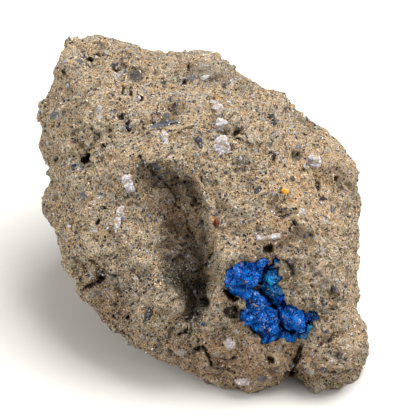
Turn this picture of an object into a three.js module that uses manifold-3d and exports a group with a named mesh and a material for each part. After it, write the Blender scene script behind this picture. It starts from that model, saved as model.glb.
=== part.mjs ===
// Hauyne on matrix: a hand-size lump of tan volcanic tuff with a nest of blue hauyne crystals in a
// socket on its show face, and single crystals of sanidine, augite, hauyne and titanite around it.
// Millimetres, +Z up. The origin is on the resting plane, under the middle of the stone.
import * as THREE from "three";
import { ConvexHull } from "three/addons/math/ConvexHull.js";
import { ConvexGeometry } from "three/addons/geometries/ConvexGeometry.js";
import { ImprovedNoise } from "three/addons/math/ImprovedNoise.js";
import { mergeVertices } from "three/addons/utils/BufferGeometryUtils.js";
import Module from "manifold-3d";

const wasm = await Module();
wasm.setup();

// ---------------------------------------------------------------- driving dimensions (mm, degrees)
const FACE_LEAN = 40; // the show face looks this far above the horizon
const STONE_CENTRE_Y = 15.8; // from the front foot back to the middle of the base
const SEAT_GAP = 0.3; // clearance between a crystal and its pocket, or its neighbour
const FACET = 2; // longest triangle edge on the stone
const HOLLOW_FACET = 1.9; // the same in the big hollow
const ROUNDING = 0.62; // how far a split edge swells towards its ends' planes, 0 flat to 1 round
const RELIEF = [
  // unevenness of the broken surface, from the broad to the fine
  { wave: 6.5, depth: 0.85 },
  { wave: 2.9, depth: 0.5 },
  { wave: 1.5, depth: 0.22 },
];
const RELIEF_ORIGIN = new THREE.Vector3(31, 57, 83); // which stretch of the noise the stone shows
const HOLLOW_RELIEF = 0.55; // the hollow's share of that unevenness
const OUTSIDE = 40; // clear of the whole stone, from anywhere on it
const WELD = 1e-4; // corners this close are one

const lean = THREE.MathUtils.degToRad(FACE_LEAN);
const outOfFace = new THREE.Vector3(0, -Math.cos(lean), Math.sin(lean));

/** A point on the show face: u runs across it, v up it from the foot, w stands out of it. */
function onFace(u, v, w) {
  const foot = new THREE.Vector3(u, v * Math.sin(lean) - STONE_CENTRE_Y, v * Math.cos(lean));
  return foot.addScaledVector(outOfFace, w);
}

/** A point on the stone's far side, measured from the front foot. */
const behind = (x, y, z) => new THREE.Vector3(x, y - STONE_CENTRE_Y, z);

// ---------------------------------------------------------------- landmarks of the stone
const SKYLINE = [
  // the show face's outline, clockwise from the top left peak
  onFace(-14.5, 35.6, -6),
  onFace(-11.8, 36, -6.5),
  onFace(-9.8, 34.2, -5.2),
  onFace(-7.6, 34.8, -5.5),
  onFace(-4.8, 33.9, -6),
  onFace(-1.2, 34.1, -6.5),
  onFace(1, 34.4, -7),
  onFace(3, 32.9, -7),
  onFace(6.1, 30.7, -6.5),
  onFace(8.5, 30, -6),
  onFace(9.3, 28.2, -6),
  onFace(10.5, 27.1, -5.5),
  onFace(12.3, 25.8, -5.5),
  onFace(13.8, 24.3, -5),
  onFace(15.7, 22, -5),
  onFace(14.5, 19.2, -5),
  onFace(14.8, 17.2, -5),
  onFace(15.3, 13.5, -4.5),
  onFace(16.2, 9.9, -4),
  onFace(15.6, 7.9, -3.5),
  onFace(16.1, 6, -3),
  onFace(16.3, 3.4, -2),
  onFace(15, 0.7, -0.6),
  onFace(11.3, 0.1, 0.6),
  onFace(8.7, 1.5, 0),
  onFace(6.6, 0.2, 0.6),
  onFace(4.1, 0, 0.6),
  onFace(1.2, 1.1, 0.2),
  onFace(-2.5, 2.5, 0),
  onFace(-5.5, 4.2, 0.3),
  onFace(-8.8, 6.5, -0.5),
  onFace(-11.5, 8.3, -1),
  onFace(-13.2, 11.4, -2),
  onFace(-15.3, 14.8, -3),
  onFace(-16.6, 17.2, -4),
  onFace(-16.6, 19.6, -4),
  onFace(-15.5, 21.3, -4.5),
  onFace(-15.8, 23.2, -4.5),
  onFace(-16.5, 24.9, -5),
  onFace(-16.4, 27.2, -5.5),
  onFace(-15.5, 29.8, -6),
];
const SHOW_FACE = [
  // high and low points inside the outline, from the top down
  onFace(-12, 31.5, -0.5),
  onFace(-6.5, 30.5, 1.2),
  onFace(-1, 30, 1.2),
  onFace(3.5, 27.5, 2.6),
  onFace(-13.2, 26, 0.6),
  onFace(-8.5, 25.2, 2.8),
  onFace(-3.3, 24.6, 5),
  onFace(1.5, 23.2, 5),
  onFace(8.5, 22.5, 3),
  onFace(-12.6, 19, 1.4),
  onFace(-8, 18, 4.2),
  onFace(-2.5, 17, 5),
  onFace(2, 17, 6),
  onFace(7.5, 16.5, 6.4),
  onFace(12.4, 15, 3.2),
  onFace(-10.6, 12.8, 2.8),
  onFace(-5.6, 11, 4.8),
  onFace(1.8, 10, 6.2),
  onFace(7, 9.5, 5.6),
  onFace(12.5, 8.2, 3),
  onFace(-6.2, 6.4, 3.2),
  onFace(-1.4, 5.6, 3.6),
  onFace(4.2, 4.2, 4),
  onFace(8.6, 4.2, 2.6),
  onFace(12.8, 3.8, 2.8),
];
const FAR_SIDE = [
  behind(-11, 29.5, 19.5),
  behind(-3, 31, 16.5),
  behind(5.5, 28.5, 13),
  behind(11, 24, 10.5),
  behind(-14.5, 24, 13.5),
  behind(-11.8, 22.5, 6),
  behind(-7.5, 30.5, 9),
  behind(1.5, 32, 7.5),
  behind(9.5, 28.5, 5.5),
  behind(14.2, 20, 5),
  behind(14.6, 12, 2.5),
];
const FOOT = [
  // these lie under the resting plane, which trims them to one flat
  behind(-8.4, 18, -0.7),
  behind(-7.2, 25, -0.6),
  behind(1, 28.4, -0.7),
  behind(9.6, 24.6, -0.6),
  behind(12.6, 16, -0.7),
  behind(13.4, 6.4, -0.9),
  behind(8.4, 4.4, -0.9),
  behind(-2.8, 7.8, -0.8),
  behind(2, 16, -2),
];
const HEART = onFace(0, 17.5, -7);

// The big hollow: a niche under an arched rim, with a gentle slope on its left, and below it a
// narrow slot beside a bevelled wall.
const HOLLOW = [
  // the niche's floor, from the top down
  onFace(-3.6, 21.3, 3.7),
  onFace(-1.8, 21, 2.8),
  onFace(-0.5, 19.6, 2.2),
  onFace(-2.6, 18.6, 2.8),
  onFace(0, 17.4, 2),
  onFace(0.4, 15.2, 1.8),
  onFace(-1.8, 15.2, 1.9),
  // the slot's floor
  onFace(-0.2, 12.8, 0.9),
  onFace(-1.4, 12, 1.2),
  onFace(-0.1, 10.4, 0.2),
  onFace(-1, 8.6, 0.6),
  onFace(-1.6, 7.4, 1.8),
  // the foot of the bevelled wall
  onFace(0.6, 13.4, 3),
  onFace(0.5, 11.2, 2.8),
  onFace(0.2, 9, 2.8),
  // the gentle slope beside them
  onFace(-6.6, 21.2, 4.4),
  onFace(-5.2, 18.2, 4),
  onFace(-4.2, 15, 3.5),
  onFace(-3, 11.6, 2.9),
  onFace(-2.2, 9.2, 2.7),
  // the rim, clockwise from the top left
  onFace(-5.2, 22.3, 5),
  onFace(-3.4, 22.2, 5),
  onFace(-1.9, 21.9, 5.2),
  onFace(-0.8, 21, 5.3),
  onFace(0.1, 19.6, 5.5),
  onFace(0.6, 17.6, 5.8),
  onFace(1.1, 15.6, 6.1),
  onFace(1.7, 13.8, 6.3),
  onFace(1.8, 11.6, 6.2),
  onFace(1.3, 9.2, 5.8),
  onFace(0, 7.2, 4.8),
  onFace(-1.7, 6.6, 4),
  // well clear of the stone
  onFace(-6, 23, 11),
  onFace(-0.6, 22.4, 11),
  onFace(1, 18.4, 11),
  onFace(3, 13, 11),
  onFace(0.6, 5.8, 11),
  onFace(-4, 6, 11),
  onFace(-9, 15, 11),
];
const HOLLOW_HEART = onFace(-1.6, 15, 5.4);

// ---------------------------------------------------------------- solids from landmarks
const noise = new ImprovedNoise();

/** The closed triangle net over landmarks, each seen from the heart. */
function netOver(landmarks, heart) {
  const seen = new Map();
  for (const [i, p] of landmarks.entries()) {
    seen.set(p.clone().sub(heart).normalize(), i);
  }
  const faces = [];
  for (const face of new ConvexHull().setFromPoints([...seen.keys()]).faces) {
    const ring = [];
    let edge = face.edge;
    do {
      ring.push(seen.get(edge.head().point));
      edge = edge.next;
    } while (edge !== face.edge);
    for (let i = 2; i < ring.length; i++) {
      faces.push([ring[0], ring[i - 1], ring[i]]);
    }
  }
  return { points: landmarks.map((p) => p.clone()), faces };
}

/** Each point's outward normal, weighted by the area of its faces. */
function normalsOf({ points, faces }) {
  const normals = points.map(() => new THREE.Vector3());
  for (const [a, b, c] of faces) {
    const ab = points[b].clone().sub(points[a]);
    const ac = points[c].clone().sub(points[a]);
    const n = ab.cross(ac);
    for (const i of [a, b, c]) {
      normals[i].add(n);
    }
  }
  return normals.map((n) => n.normalize());
}

/** Splits every edge over the limit once, each new point swelling towards its ends' tangent planes. */
function splitLongEdges(net, limit) {
  const { points, faces } = net;
  const normals = normalsOf(net);
  const made = new Map();
  const middle = (a, b) => {
    if (points[a].distanceTo(points[b]) <= limit) {
      return -1;
    }
    const key = Math.min(a, b) * 1e6 + Math.max(a, b);
    if (!made.has(key)) {
      const m = points[a].clone().add(points[b]).multiplyScalar(0.5);
      const swell = new THREE.Vector3();
      for (const i of [a, b]) {
        const off = m.clone().sub(points[i]).dot(normals[i]);
        swell.addScaledVector(normals[i], -off / 2);
      }
      made.set(key, points.push(m.addScaledVector(swell, ROUNDING)) - 1);
    }
    return made.get(key);
  };
  const split = [];
  for (const [a, b, c] of faces) {
    const ab = middle(a, b);
    const bc = middle(b, c);
    const ca = middle(c, a);
    const ring = [a, ab, b, bc, c, ca].filter((i) => i >= 0);
    if (ring.length === 6) {
      split.push([ab, bc, ca], [a, ab, ca], [ab, b, bc], [ca, bc, c]);
      continue;
    }
    // a new point, where there is one, is the fan's hub, so that no triangle is flat
    const hub = Math.max(ring.indexOf(Math.max(ab, bc, ca)), 0);
    for (let i = 2; i < ring.length; i++) {
      const at = (k) => ring[(hub + k) % ring.length];
      split.push([ring[hub], at(i - 1), at(i)]);
    }
  }
  return { points, faces: split };
}

/** Moves each point along its normal by several sizes of noise, as broken tuff is uneven. */
function roughen(net, share) {
  const normals = normalsOf(net);
  net.points.forEach((p, i) => {
    let height = 0;
    for (const { wave, depth } of RELIEF) {
      const at = p.clone().divideScalar(wave).add(RELIEF_ORIGIN);
      height += depth * noise.noise(at.x, at.y, at.z);
    }
    p.addScaledVector(normals[i], height * share);
  });
  return net;
}

/** A lump of stone over landmarks, as a closed solid. */
function lump(landmarks, heart, facet, roughness) {
  let net = netOver(landmarks, heart);
  for (let count = 0; count !== net.faces.length; ) {
    count = net.faces.length;
    net = splitLongEdges(net, facet);
  }
  return solidOfNet(roughen(net, roughness));
}

/** A solid from a closed net of points and triangles. */
function solidOfNet({ points, faces }) {
  const mesh = { numProp: 3, vertProperties: new Float32Array(points.length * 3) };
  points.forEach((p, i) => p.toArray(mesh.vertProperties, i * 3));
  mesh.triVerts = new Uint32Array(faces.flat());
  return new wasm.Manifold(new wasm.Mesh(mesh));
}

/** A solid from a closed three.js geometry. */
function solidOf(geometry) {
  const bare = geometry.clone().deleteAttribute("normal").deleteAttribute("uv");
  const merged = mergeVertices(bare, WELD);
  const vertProperties = merged.attributes.position.array;
  const triVerts = new Uint32Array(merged.index.array);
  return new wasm.Manifold(new wasm.Mesh({ numProp: 3, vertProperties, triVerts }));
}

/** A solid's triangles as a three.js geometry. */
function geometryOf(solid) {
  const { numProp, vertProperties, triVerts } = solid.getMesh();
  const flat = new THREE.BufferGeometry();
  const stored = new THREE.InterleavedBuffer(vertProperties, numProp);
  flat.setAttribute("position", new THREE.InterleavedBufferAttribute(stored, 3, 0));
  flat.setIndex(new THREE.BufferAttribute(triVerts, 1));
  return flat;
}

// ---------------------------------------------------------------- crystal habits
/** A rhombic dodecahedron, hauyne's habit, inside half sizes a, b and c. */
function dodecahedron(a, b, c) {
  const corners = [];
  for (const s of [-1, 1]) {
    corners.push([s, 0, 0], [0, s, 0], [0, 0, s]);
    for (const t of [-1, 1]) {
      corners.push([s / 2, t / 2, 0.5], [s / 2, t / 2, -0.5]);
    }
  }
  return new ConvexGeometry(corners.map(([x, y, z]) => new THREE.Vector3(x * a, y * b, z * c)));
}

/** A tablet with its corners cut, as sanidine and titanite grow. */
function tablet(a, b, c) {
  const kept = 0.6; // the share of each edge that the cut corners leave
  const corners = [];
  for (const x of [-1, 1]) {
    for (const y of [-1, 1]) {
      for (const z of [-1, 1]) {
        corners.push([x, y * kept, z * kept], [x * kept, y, z * kept], [x * kept, y * kept, z]);
      }
    }
  }
  return new ConvexGeometry(corners.map(([x, y, z]) => new THREE.Vector3(x * a, y * b, z * c)));
}

/** An eight-sided prism along y with blunt wedge ends, augite's habit. */
function prism(a, b, c) {
  const sides = 8;
  const shoulder = 0.8; // where the wedge ends begin, as a share of the half length
  const ridge = 0.4; // half the wedge's edge, as a share of the half thickness
  const corners = [];
  for (const end of [-1, 1]) {
    for (let side = 0; side < sides; side++) {
      const turn = ((side + 0.5) * 2 * Math.PI) / sides;
      corners.push([Math.cos(turn), end * shoulder, Math.sin(turn)]);
    }
    corners.push([0, end, ridge], [0, end, -ridge]);
  }
  return new ConvexGeometry(corners.map(([x, y, z]) => new THREE.Vector3(x * a, y * b, z * c)));
}

/** Places a shape built about its own centre: turned in the face's plane, then tipped out of it. */
function seat(geometry, centre, turn, tip) {
  const across = new THREE.Vector3(1, 0, 0);
  const up = outOfFace.clone().cross(across);
  const matrix = new THREE.Matrix4().makeBasis(across, up, outOfFace).setPosition(centre);
  const spin = new THREE.Matrix4().makeRotationZ(THREE.MathUtils.degToRad(turn));
  const pitch = new THREE.Matrix4().makeRotationX(THREE.MathUtils.degToRad(tip));
  return geometry.clone().applyMatrix4(matrix.multiply(spin).multiply(pitch));
}

// ---------------------------------------------------------------- the stone before its crystals
let stone = lump([...SKYLINE, ...SHOW_FACE, ...FAR_SIDE, ...FOOT], HEART, FACET, 1);
stone = stone.subtract(lump(HOLLOW, HOLLOW_HEART, HOLLOW_FACET, HOLLOW_RELIEF));

const ground = new THREE.BoxGeometry(2 * OUTSIDE, 2 * OUTSIDE, OUTSIDE).translate(0, 0, -OUTSIDE / 2);
stone = stone.subtract(solidOf(ground));

const ray = new THREE.Raycaster();

/** The point where a line square to the show face meets the stone at u, v, sunk by a depth. */
function surfaceAt(target, u, v, sunk) {
  ray.set(onFace(u, v, OUTSIDE), outOfFace.clone().negate());
  const [hit] = ray.intersectObject(target);
  return hit.point.addScaledVector(outOfFace, -sunk);
}

// Clefts, vesicles and cracks: [u, v, half width, half length, half depth, turn, sunk]
const PITS = [
  [8.7, 2.1, 0.55, 1.6, 1.6, -14, 0.2], // the cleft between the two feet
  [-1.1, 6.2, 0.45, 0.7, 0.9, 20, 0.1], // crack under the big hollow, in three parts
  [-0.3, 4.5, 0.7, 0.55, 1, 30, 0.1],
  [0.7, 3, 0.35, 1.2, 0.9, 16, 0.1],
  [6.4, 14.3, 0.5, 0.5, 1.4, 0, 0.2], // vesicle over the nest
  [8.5, 12.3, 0.35, 0.9, 0.8, 12, 0.1], // moat beside the nest
  [2.5, 9.6, 0.7, 0.8, 1.5, 20, 0.4], // vesicles beside the nest
  [2.7, 8, 1, 0.9, 1.2, 0, 0.4],
  [-11.5, 33.1, 0.6, 0.7, 0.9, 20, 0.3],
  [-11.6, 23.1, 0.8, 0.5, 0.8, 0, 0.1],
  [-14.3, 23.3, 0.9, 0.45, 0.7, -10, 0.1],
  [-10.4, 11.8, 0.9, 0.6, 0.8, -40, 0.1],
  [9.4, 23.4, 0.6, 0.6, 0.7, 0, 0.1],
  [-4.9, 22.4, 0.3, 1.5, 0.6, 48, 0.1], // crack running into the hollow's top
  [-4.3, 26.8, 0.3, 1.5, 0.6, -72, 0.1], // shallow crack above it
  [4.3, 20.5, 0.4, 1.1, 0.6, -20, 0.1],
];
const bareStone = new THREE.Mesh(geometryOf(stone));
for (const [u, v, a, b, c, turn, sunk] of PITS) {
  const hole = new THREE.SphereGeometry(1, 8, 6).scale(a, b, c);
  stone = stone.subtract(solidOf(seat(hole, surfaceAt(bareStone, u, v, sunk), turn, 0)));
}

// ---------------------------------------------------------------- the hauyne nest
// Each crystal is one solid of dodecahedra grown into each other and cut off by its outline, and is
// listed before those it pushes aside. An outline is [u, v] corners on the show face, and a block is
// [u, v, half size, turn, tip, sunk].
const NEST = {
  hauyne_crystal_round: {
    outline: [
      [7.5, 8.4],
      [8.1, 9],
      [8.7, 8.8],
      [9.7, 8.5],
      [10.4, 7.9],
      [10.5, 7],
      [10, 6.3],
      [9.3, 6.2],
      [8.4, 6.5],
      [7.7, 7.1],
      [7.4, 7.8],
    ],
    blocks: [[8.95, 7.6, 2.5, 12, 20, 2]],
  },
  hauyne_crystal_upper: {
    outline: [
      [2.2, 12.2],
      [3, 12.7],
      [3.6, 13.2],
      [4.8, 12.9],
      [5.6, 13.4],
      [6.4, 13.3],
      [6.2, 12.2],
      [5.4, 11.3],
      [4.9, 10.6],
      [4.5, 9.6],
      [3.9, 9.2],
      [3.1, 9.6],
      [2.4, 10.1],
      [2.1, 11.2],
    ],
    blocks: [
      [4, 11.8, 3.1, 25, 15, 2.95],
      [3.6, 10.1, 2.3, 60, 35, 2.3],
      [5.7, 12.6, 2.1, 10, 50, 2.3],
      [2.7, 11.9, 1.8, 40, 10, 1.85],
    ],
  },
  hauyne_crystal_lower: {
    outline: [
      [4.3, 9.3],
      [4.9, 9.8],
      [5.9, 9.8],
      [6.4, 9.2],
      [7.1, 8.5],
      [7.2, 7.2],
      [7.6, 6.5],
      [8.3, 6],
      [9.2, 5.9],
      [9.6, 5.3],
      [8.5, 5.1],
      [6.9, 5.2],
      [6.4, 4.8],
      [5.7, 4.9],
      [5.6, 5.5],
      [4.6, 6.4],
      [3.6, 7.4],
      [3.9, 8.4],
    ],
    blocks: [
      [5.4, 7.9, 3, 35, 25, 2.85],
      [4.6, 7.4, 2.2, 15, 60, 2.1],
      [6.4, 6.4, 2.5, 50, 10, 2.45],
      [8.1, 5.9, 2.2, 20, 30, 2.3],
      [5.4, 9.4, 1.7, 0, 20, 1.7],
      [6.1, 5.2, 1.4, 30, 0, 1.3],
    ],
  },
  hauyne_crystal_middle: {
    outline: [
      [6.7, 13.4],
      [7.2, 13.6],
      [7.8, 13],
      [7.5, 12.3],
      [7.8, 11.8],
      [7.5, 11.2],
      [7.5, 10.4],
      [8, 9.6],
      [8.2, 9],
      [7.7, 8.7],
      [7, 9.1],
      [6.3, 9.8],
      [5.4, 10.7],
      [5.9, 11.4],
      [6.6, 12.2],
    ],
    blocks: [
      [6.9, 11.4, 2, 30, 40, 2.05],
      [7, 10.3, 1.8, 5, 15, 1.85],
      [7.2, 12.9, 1.6, 5, 15, 2.1],
      [7.7, 9.3, 1.5, 45, 30, 1.5],
    ],
  },
  hauyne_crystal_side: {
    outline: [
      [10.5, 8.2],
      [11, 8.2],
      [11.4, 7.7],
      [11.6, 7.3],
      [11.4, 6.8],
      [10.7, 6.7],
    ],
    blocks: [[11, 7.5, 1.5, 30, 10, 1.5]],
  },
  hauyne_crystal_edge: {
    outline: [
      [9.6, 5.8],
      [10.2, 6.3],
      [10.5, 6.8],
      [11, 6.8],
      [11.1, 6.4],
      [10.7, 6],
      [10.7, 5.5],
      [10.4, 5.2],
      [9.7, 5.2],
    ],
    blocks: [
      [10.2, 5.8, 1.8, 15, 45, 1.75],
      [10.9, 6.5, 1.1, 60, 0, 1.05],
    ],
  },
};

/** A column square to the show face over an outline, grown by a margin. */
function column(outline, margin) {
  const across = new THREE.Vector3(1, 0, 0);
  const up = outOfFace.clone().cross(across);
  const frame = new THREE.Matrix4().makeBasis(across, up, outOfFace);
  frame.setPosition(onFace(0, 0, -OUTSIDE));
  const area = new wasm.CrossSection([outline], "EvenOdd").offset(margin, "Miter");
  return area.extrude(2 * OUTSIDE).transform(frame.elements);
}

/** A crystal's dodecahedra, each shaped into one solid, joined inside its outline. */
function grownTogether({ outline, blocks }, margin, shaped) {
  const solids = blocks.map(([u, v, half, turn, tip, sunk]) => {
    const size = half + margin;
    const block = dodecahedron(size, size, size);
    return shaped(solidOf(seat(block, surfaceAt(bareStone, u, v, sunk), turn, tip)));
  });
  return solids.reduce((joined, solid) => joined.add(solid)).intersect(column(outline, margin));
}

/** The way that a block would leave in, straight out of the show face. */
function wayOut(block) {
  return wasm.Manifold.hull([block, block.translate(outOfFace.clone().multiplyScalar(OUTSIDE).toArray())]);
}

const crystals = new Map();
let taken = null;
for (const [name, shape] of Object.entries(NEST)) {
  const crystal = grownTogether(shape, 0, (block) => block);
  const room = grownTogether(shape, SEAT_GAP, wayOut);
  crystals.set(name, taken ? crystal.subtract(taken) : crystal);
  taken = taken ? taken.add(room) : room;
}
stone = stone.subtract(taken);

// ---------------------------------------------------------------- single crystals in the tuff
// [name, habit, u, v, half width, half length, half thickness, turn, tip, sunk]
const SINGLES = [
  ["sanidine_crystal_1", tablet, 1.9, 24.4, 0.75, 0.95, 0.5, 10, 8, 0.25],
  ["sanidine_crystal_2", tablet, 1.6, 28.1, 0.55, 0.5, 0.4, 30, 0, 0.2],
  ["sanidine_crystal_3", tablet, 1.8, 26.5, 0.55, 0.5, 0.4, -15, 10, 0.2],
  ["sanidine_crystal_4", tablet, -3.7, 25.1, 0.35, 0.7, 0.4, 8, 0, 0.2],
  ["sanidine_crystal_5", tablet, -8.3, 17.1, 0.35, 1.3, 0.4, -6, 0, 0.2],
  ["sanidine_crystal_6", tablet, -7.3, 20.7, 0.5, 0.85, 0.4, 12, 0, 0.2],
  ["sanidine_crystal_7", tablet, 6.5, 15.5, 1.15, 0.35, 0.45, 4, 0, 0.15],
  ["sanidine_crystal_8", tablet, 4.1, 1, 0.75, 0.45, 0.4, -12, 0, 0.2],
  ["sanidine_crystal_9", tablet, 2.6, 4.9, 0.5, 0.55, 0.4, 35, 0, 0.2],
  ["sanidine_crystal_10", tablet, 10.7, 23.1, 0.95, 0.55, 0.5, -30, 10, 0.2],
  ["augite_crystal_1", prism, -5.4, 7.8, 0.3, 0.8, 0.3, -22, 0, 0.12],
  ["augite_crystal_2", prism, -8.8, 32.6, 0.4, 0.4, 0.35, 20, 0, 0.15],
  ["augite_crystal_3", prism, 7, 27.1, 0.35, 0.6, 0.35, 25, 0, 0.15],
  ["augite_crystal_4", prism, -0.4, 24.8, 0.35, 0.7, 0.35, 15, 0, 0.15],
  ["augite_crystal_5", prism, 12.9, 10.5, 0.4, 0.75, 0.4, 30, 0, 0.15],
  ["augite_crystal_6", prism, 11.9, 8.9, 0.35, 0.4, 0.35, 10, 0, 0.1],
  ["augite_crystal_7", prism, 12, 2.4, 0.4, 0.45, 0.35, -30, 0, 0.15],
  ["hauyne_grain_1", dodecahedron, 0.1, 6.8, 0.4, 0.35, 0.4, 20, 10, 0.1],
  ["hauyne_grain_2", dodecahedron, -12.9, 22.6, 0.4, 0.35, 0.4, 0, 20, 0.1],
  ["titanite_crystal", tablet, 8.1, 19.9, 0.3, 0.3, 0.3, 30, 0, 0.05],
];

const pittedStone = new THREE.Mesh(geometryOf(stone));
for (const [name, habit, u, v, a, b, c, turn, tip, sunk] of SINGLES) {
  const centre = surfaceAt(pittedStone, u, v, sunk);
  const pocket = habit(a + SEAT_GAP, b + SEAT_GAP, c + SEAT_GAP);
  stone = stone.subtract(solidOf(seat(pocket, centre, turn, tip)));
  crystals.set(name, solidOf(seat(habit(a, b, c), centre, turn, tip)));
}

// ---------------------------------------------------------------- scene graph
const FINISHES = {
  stone: { color: 0x9a8874, roughness: 0.95, metalness: 0 },
  hauyne: { color: 0x1450b4, roughness: 0.3, metalness: 0 },
  sanidine: { color: 0xcfc9c4, roughness: 0.35, metalness: 0 },
  augite: { color: 0x15161a, roughness: 0.3, metalness: 0 },
  titanite: { color: 0xc99a1c, roughness: 0.4, metalness: 0 },
};

const specimen = new THREE.Group();

/** Adds one named piece of the specimen. */
function addPiece(name, solid, finish) {
  const piece = new THREE.Mesh(geometryOf(solid), new THREE.MeshStandardMaterial(FINISHES[finish]));
  piece.name = name;
  specimen.add(piece);
}

/** The largest body of a solid, without the loose chips that a cut can leave. */
function largestBody(solid) {
  return solid.decompose().reduce((a, b) => (a.volume() > b.volume() ? a : b));
}

addPiece("matrix_stone", largestBody(stone), "stone");
for (const [name, solid] of crystals) {
  addPiece(name, largestBody(solid), name.split("_")[0]);
}

export default specimen;
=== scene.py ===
"""Looks of a hauyne-on-matrix specimen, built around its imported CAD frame.

The stone is remeshed from its CAD node and the broken surface of the tuff is worked into the mesh.
The crystals are remade the same way, and thousands of small grains are seated in the surface. All
modelling is in millimetres, and each finished mesh is brought to metres once.
"""

import logging
import math
from collections.abc import Callable, Sequence
from dataclasses import dataclass, field
from enum import Enum

import bmesh
import bpy
import numpy as np
from mathutils import Matrix, Vector, noise
from mathutils.bvhtree import BVHTree


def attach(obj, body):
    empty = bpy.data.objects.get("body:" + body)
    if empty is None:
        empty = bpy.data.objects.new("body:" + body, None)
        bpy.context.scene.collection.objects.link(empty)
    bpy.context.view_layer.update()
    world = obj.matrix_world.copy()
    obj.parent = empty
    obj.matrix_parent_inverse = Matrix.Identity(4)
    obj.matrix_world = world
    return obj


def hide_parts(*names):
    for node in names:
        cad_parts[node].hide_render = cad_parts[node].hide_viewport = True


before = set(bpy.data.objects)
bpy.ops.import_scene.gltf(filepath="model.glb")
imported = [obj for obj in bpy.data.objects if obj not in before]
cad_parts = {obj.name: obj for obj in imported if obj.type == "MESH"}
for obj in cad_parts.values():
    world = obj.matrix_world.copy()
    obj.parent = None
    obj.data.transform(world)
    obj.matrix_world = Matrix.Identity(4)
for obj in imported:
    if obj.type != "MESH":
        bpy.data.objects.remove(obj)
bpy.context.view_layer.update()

LOG = logging.getLogger("specimen")
MM = 0.001
NOISE_SEED = 3  # without a seed, noise_vector takes one from the clock
BODY = "root"
WELD = 1e-6
TINT_DEPTH = 30.0  # so deep, a tint goes right through its crystal
NO_AREA = 1e-12
LUMP_DRAW = 61.7  # spreads the cells' middles, so that noise.cell gives each cell its own value
LUMP_SIZES = (0.55, 0.75)
BLOCK_DRAW = 53.3
BLOCK_BEND = (1.9, 0.24)  # how fine and how strong the noise is that bends the blocks' edges
END_TAPER = 6  # a scarp fades over a sixth of its length at each end
WANDER = ((0.9, 0.22), (0.33, 0.1))  # wave and reach of the noise that moves laid features
Colour = tuple[float, float, float, float]
Line = tuple[tuple[float, float], ...]


def srgb(red: int, green: int, blue: int) -> Colour:
    """A display colour of 0 to 255 as the linear colour that a shader takes."""
    linear = [c / 12.92 if c <= 0.04045 else ((c + 0.055) / 1.055) ** 2.4
              for c in (red / 255, green / 255, blue / 255)]
    return (*linear, 1.0)


@dataclass(frozen=True)
class ShowFace:
    """The leaning plane of the show face, in which features are placed in millimetres.

    u runs across the face, v up it from the front foot, and w stands out of it.
    """

    lean: float = math.radians(40)
    foot_y: float = -15.8

    @property
    def out(self) -> Vector:
        """The direction that the show face looks in."""
        return Vector((0, -math.cos(self.lean), math.sin(self.lean)))

    @property
    def up(self) -> Vector:
        """The direction up the show face."""
        return Vector((0, math.sin(self.lean), math.cos(self.lean)))

    def place(self, u: float, v: float, w: float = 0) -> Vector:
        """The point at u, v and w, in millimetres."""
        return Vector((u, self.foot_y, 0)) + self.up * v + self.out * w

    def read(self, points: np.ndarray) -> np.ndarray:
        """The u, v and w of rows of points in millimetres."""
        axes = np.array([(1, 0, 0), self.up, self.out])
        return (points - (0, self.foot_y, 0)) @ axes.T

    def turned(self, turn: float) -> Matrix:
        """The axes across, along and out of the face, turned in its plane by degrees."""
        axes = Matrix((Vector((1, 0, 0)), self.up, self.out)).transposed()
        return axes @ Matrix.Rotation(math.radians(turn), 3, "Z")


FACE = ShowFace()


# ------------------------------------------------------------------------------ meshes


def cad_copy(node: str) -> bmesh.types.BMesh:
    """A CAD node's mesh with its corners merged, in millimetres."""
    mesh = bmesh.new()
    mesh.from_mesh(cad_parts[node].data)
    bmesh.ops.remove_doubles(mesh, verts=mesh.verts, dist=WELD)
    bmesh.ops.scale(mesh, vec=(1 / MM,) * 3, verts=mesh.verts)
    return mesh


def remeshed(mesh: bmesh.types.BMesh, voxel: float) -> bmesh.types.BMesh:
    """One even closed skin over all the closed shells of a mesh.

    Args:
        mesh: The shells, which are freed.
        voxel: The new faces' size in millimetres.

    Returns:
        The new mesh.
    """
    data = bpy.data.meshes.new("shells")
    mesh.to_mesh(data)
    mesh.free()
    holder = bpy.data.objects.new("shells", data)
    bpy.context.scene.collection.objects.link(holder)
    remesh = holder.modifiers.new("skin", "REMESH")
    remesh.mode = "VOXEL"
    remesh.voxel_size = voxel
    remesh.adaptivity = 0
    evaluated = holder.evaluated_get(bpy.context.evaluated_depsgraph_get())
    skin = bmesh.new()
    skin.from_mesh(evaluated.to_mesh())
    evaluated.to_mesh_clear()
    bpy.data.objects.remove(holder)
    bpy.data.meshes.remove(data)
    return skin


def relax(mesh: bmesh.types.BMesh, rounds: int) -> None:
    """Evens out a mesh's steps by a number of rounds of smoothing."""
    for _ in range(rounds):
        bmesh.ops.smooth_vert(mesh, verts=mesh.verts, factor=0.5,
                              use_axis_x=True, use_axis_y=True, use_axis_z=True)


def finished(mesh: bmesh.types.BMesh, name: str, material: bpy.types.Material,
             nodes: Sequence[str]) -> None:
    """Makes a mesh in millimetres one piece, which rides on the specimen's body.

    Args:
        mesh: The piece's mesh, which is freed.
        name: The piece's name.
        material: Its finish.
        nodes: The CAD nodes that it stands for.
    """
    bmesh.ops.scale(mesh, vec=(MM,) * 3, verts=mesh.verts)
    data = bpy.data.meshes.new(name)
    mesh.to_mesh(data)
    mesh.free()
    data.shade_smooth()
    placed_piece(data, name, material, nodes)


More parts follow.
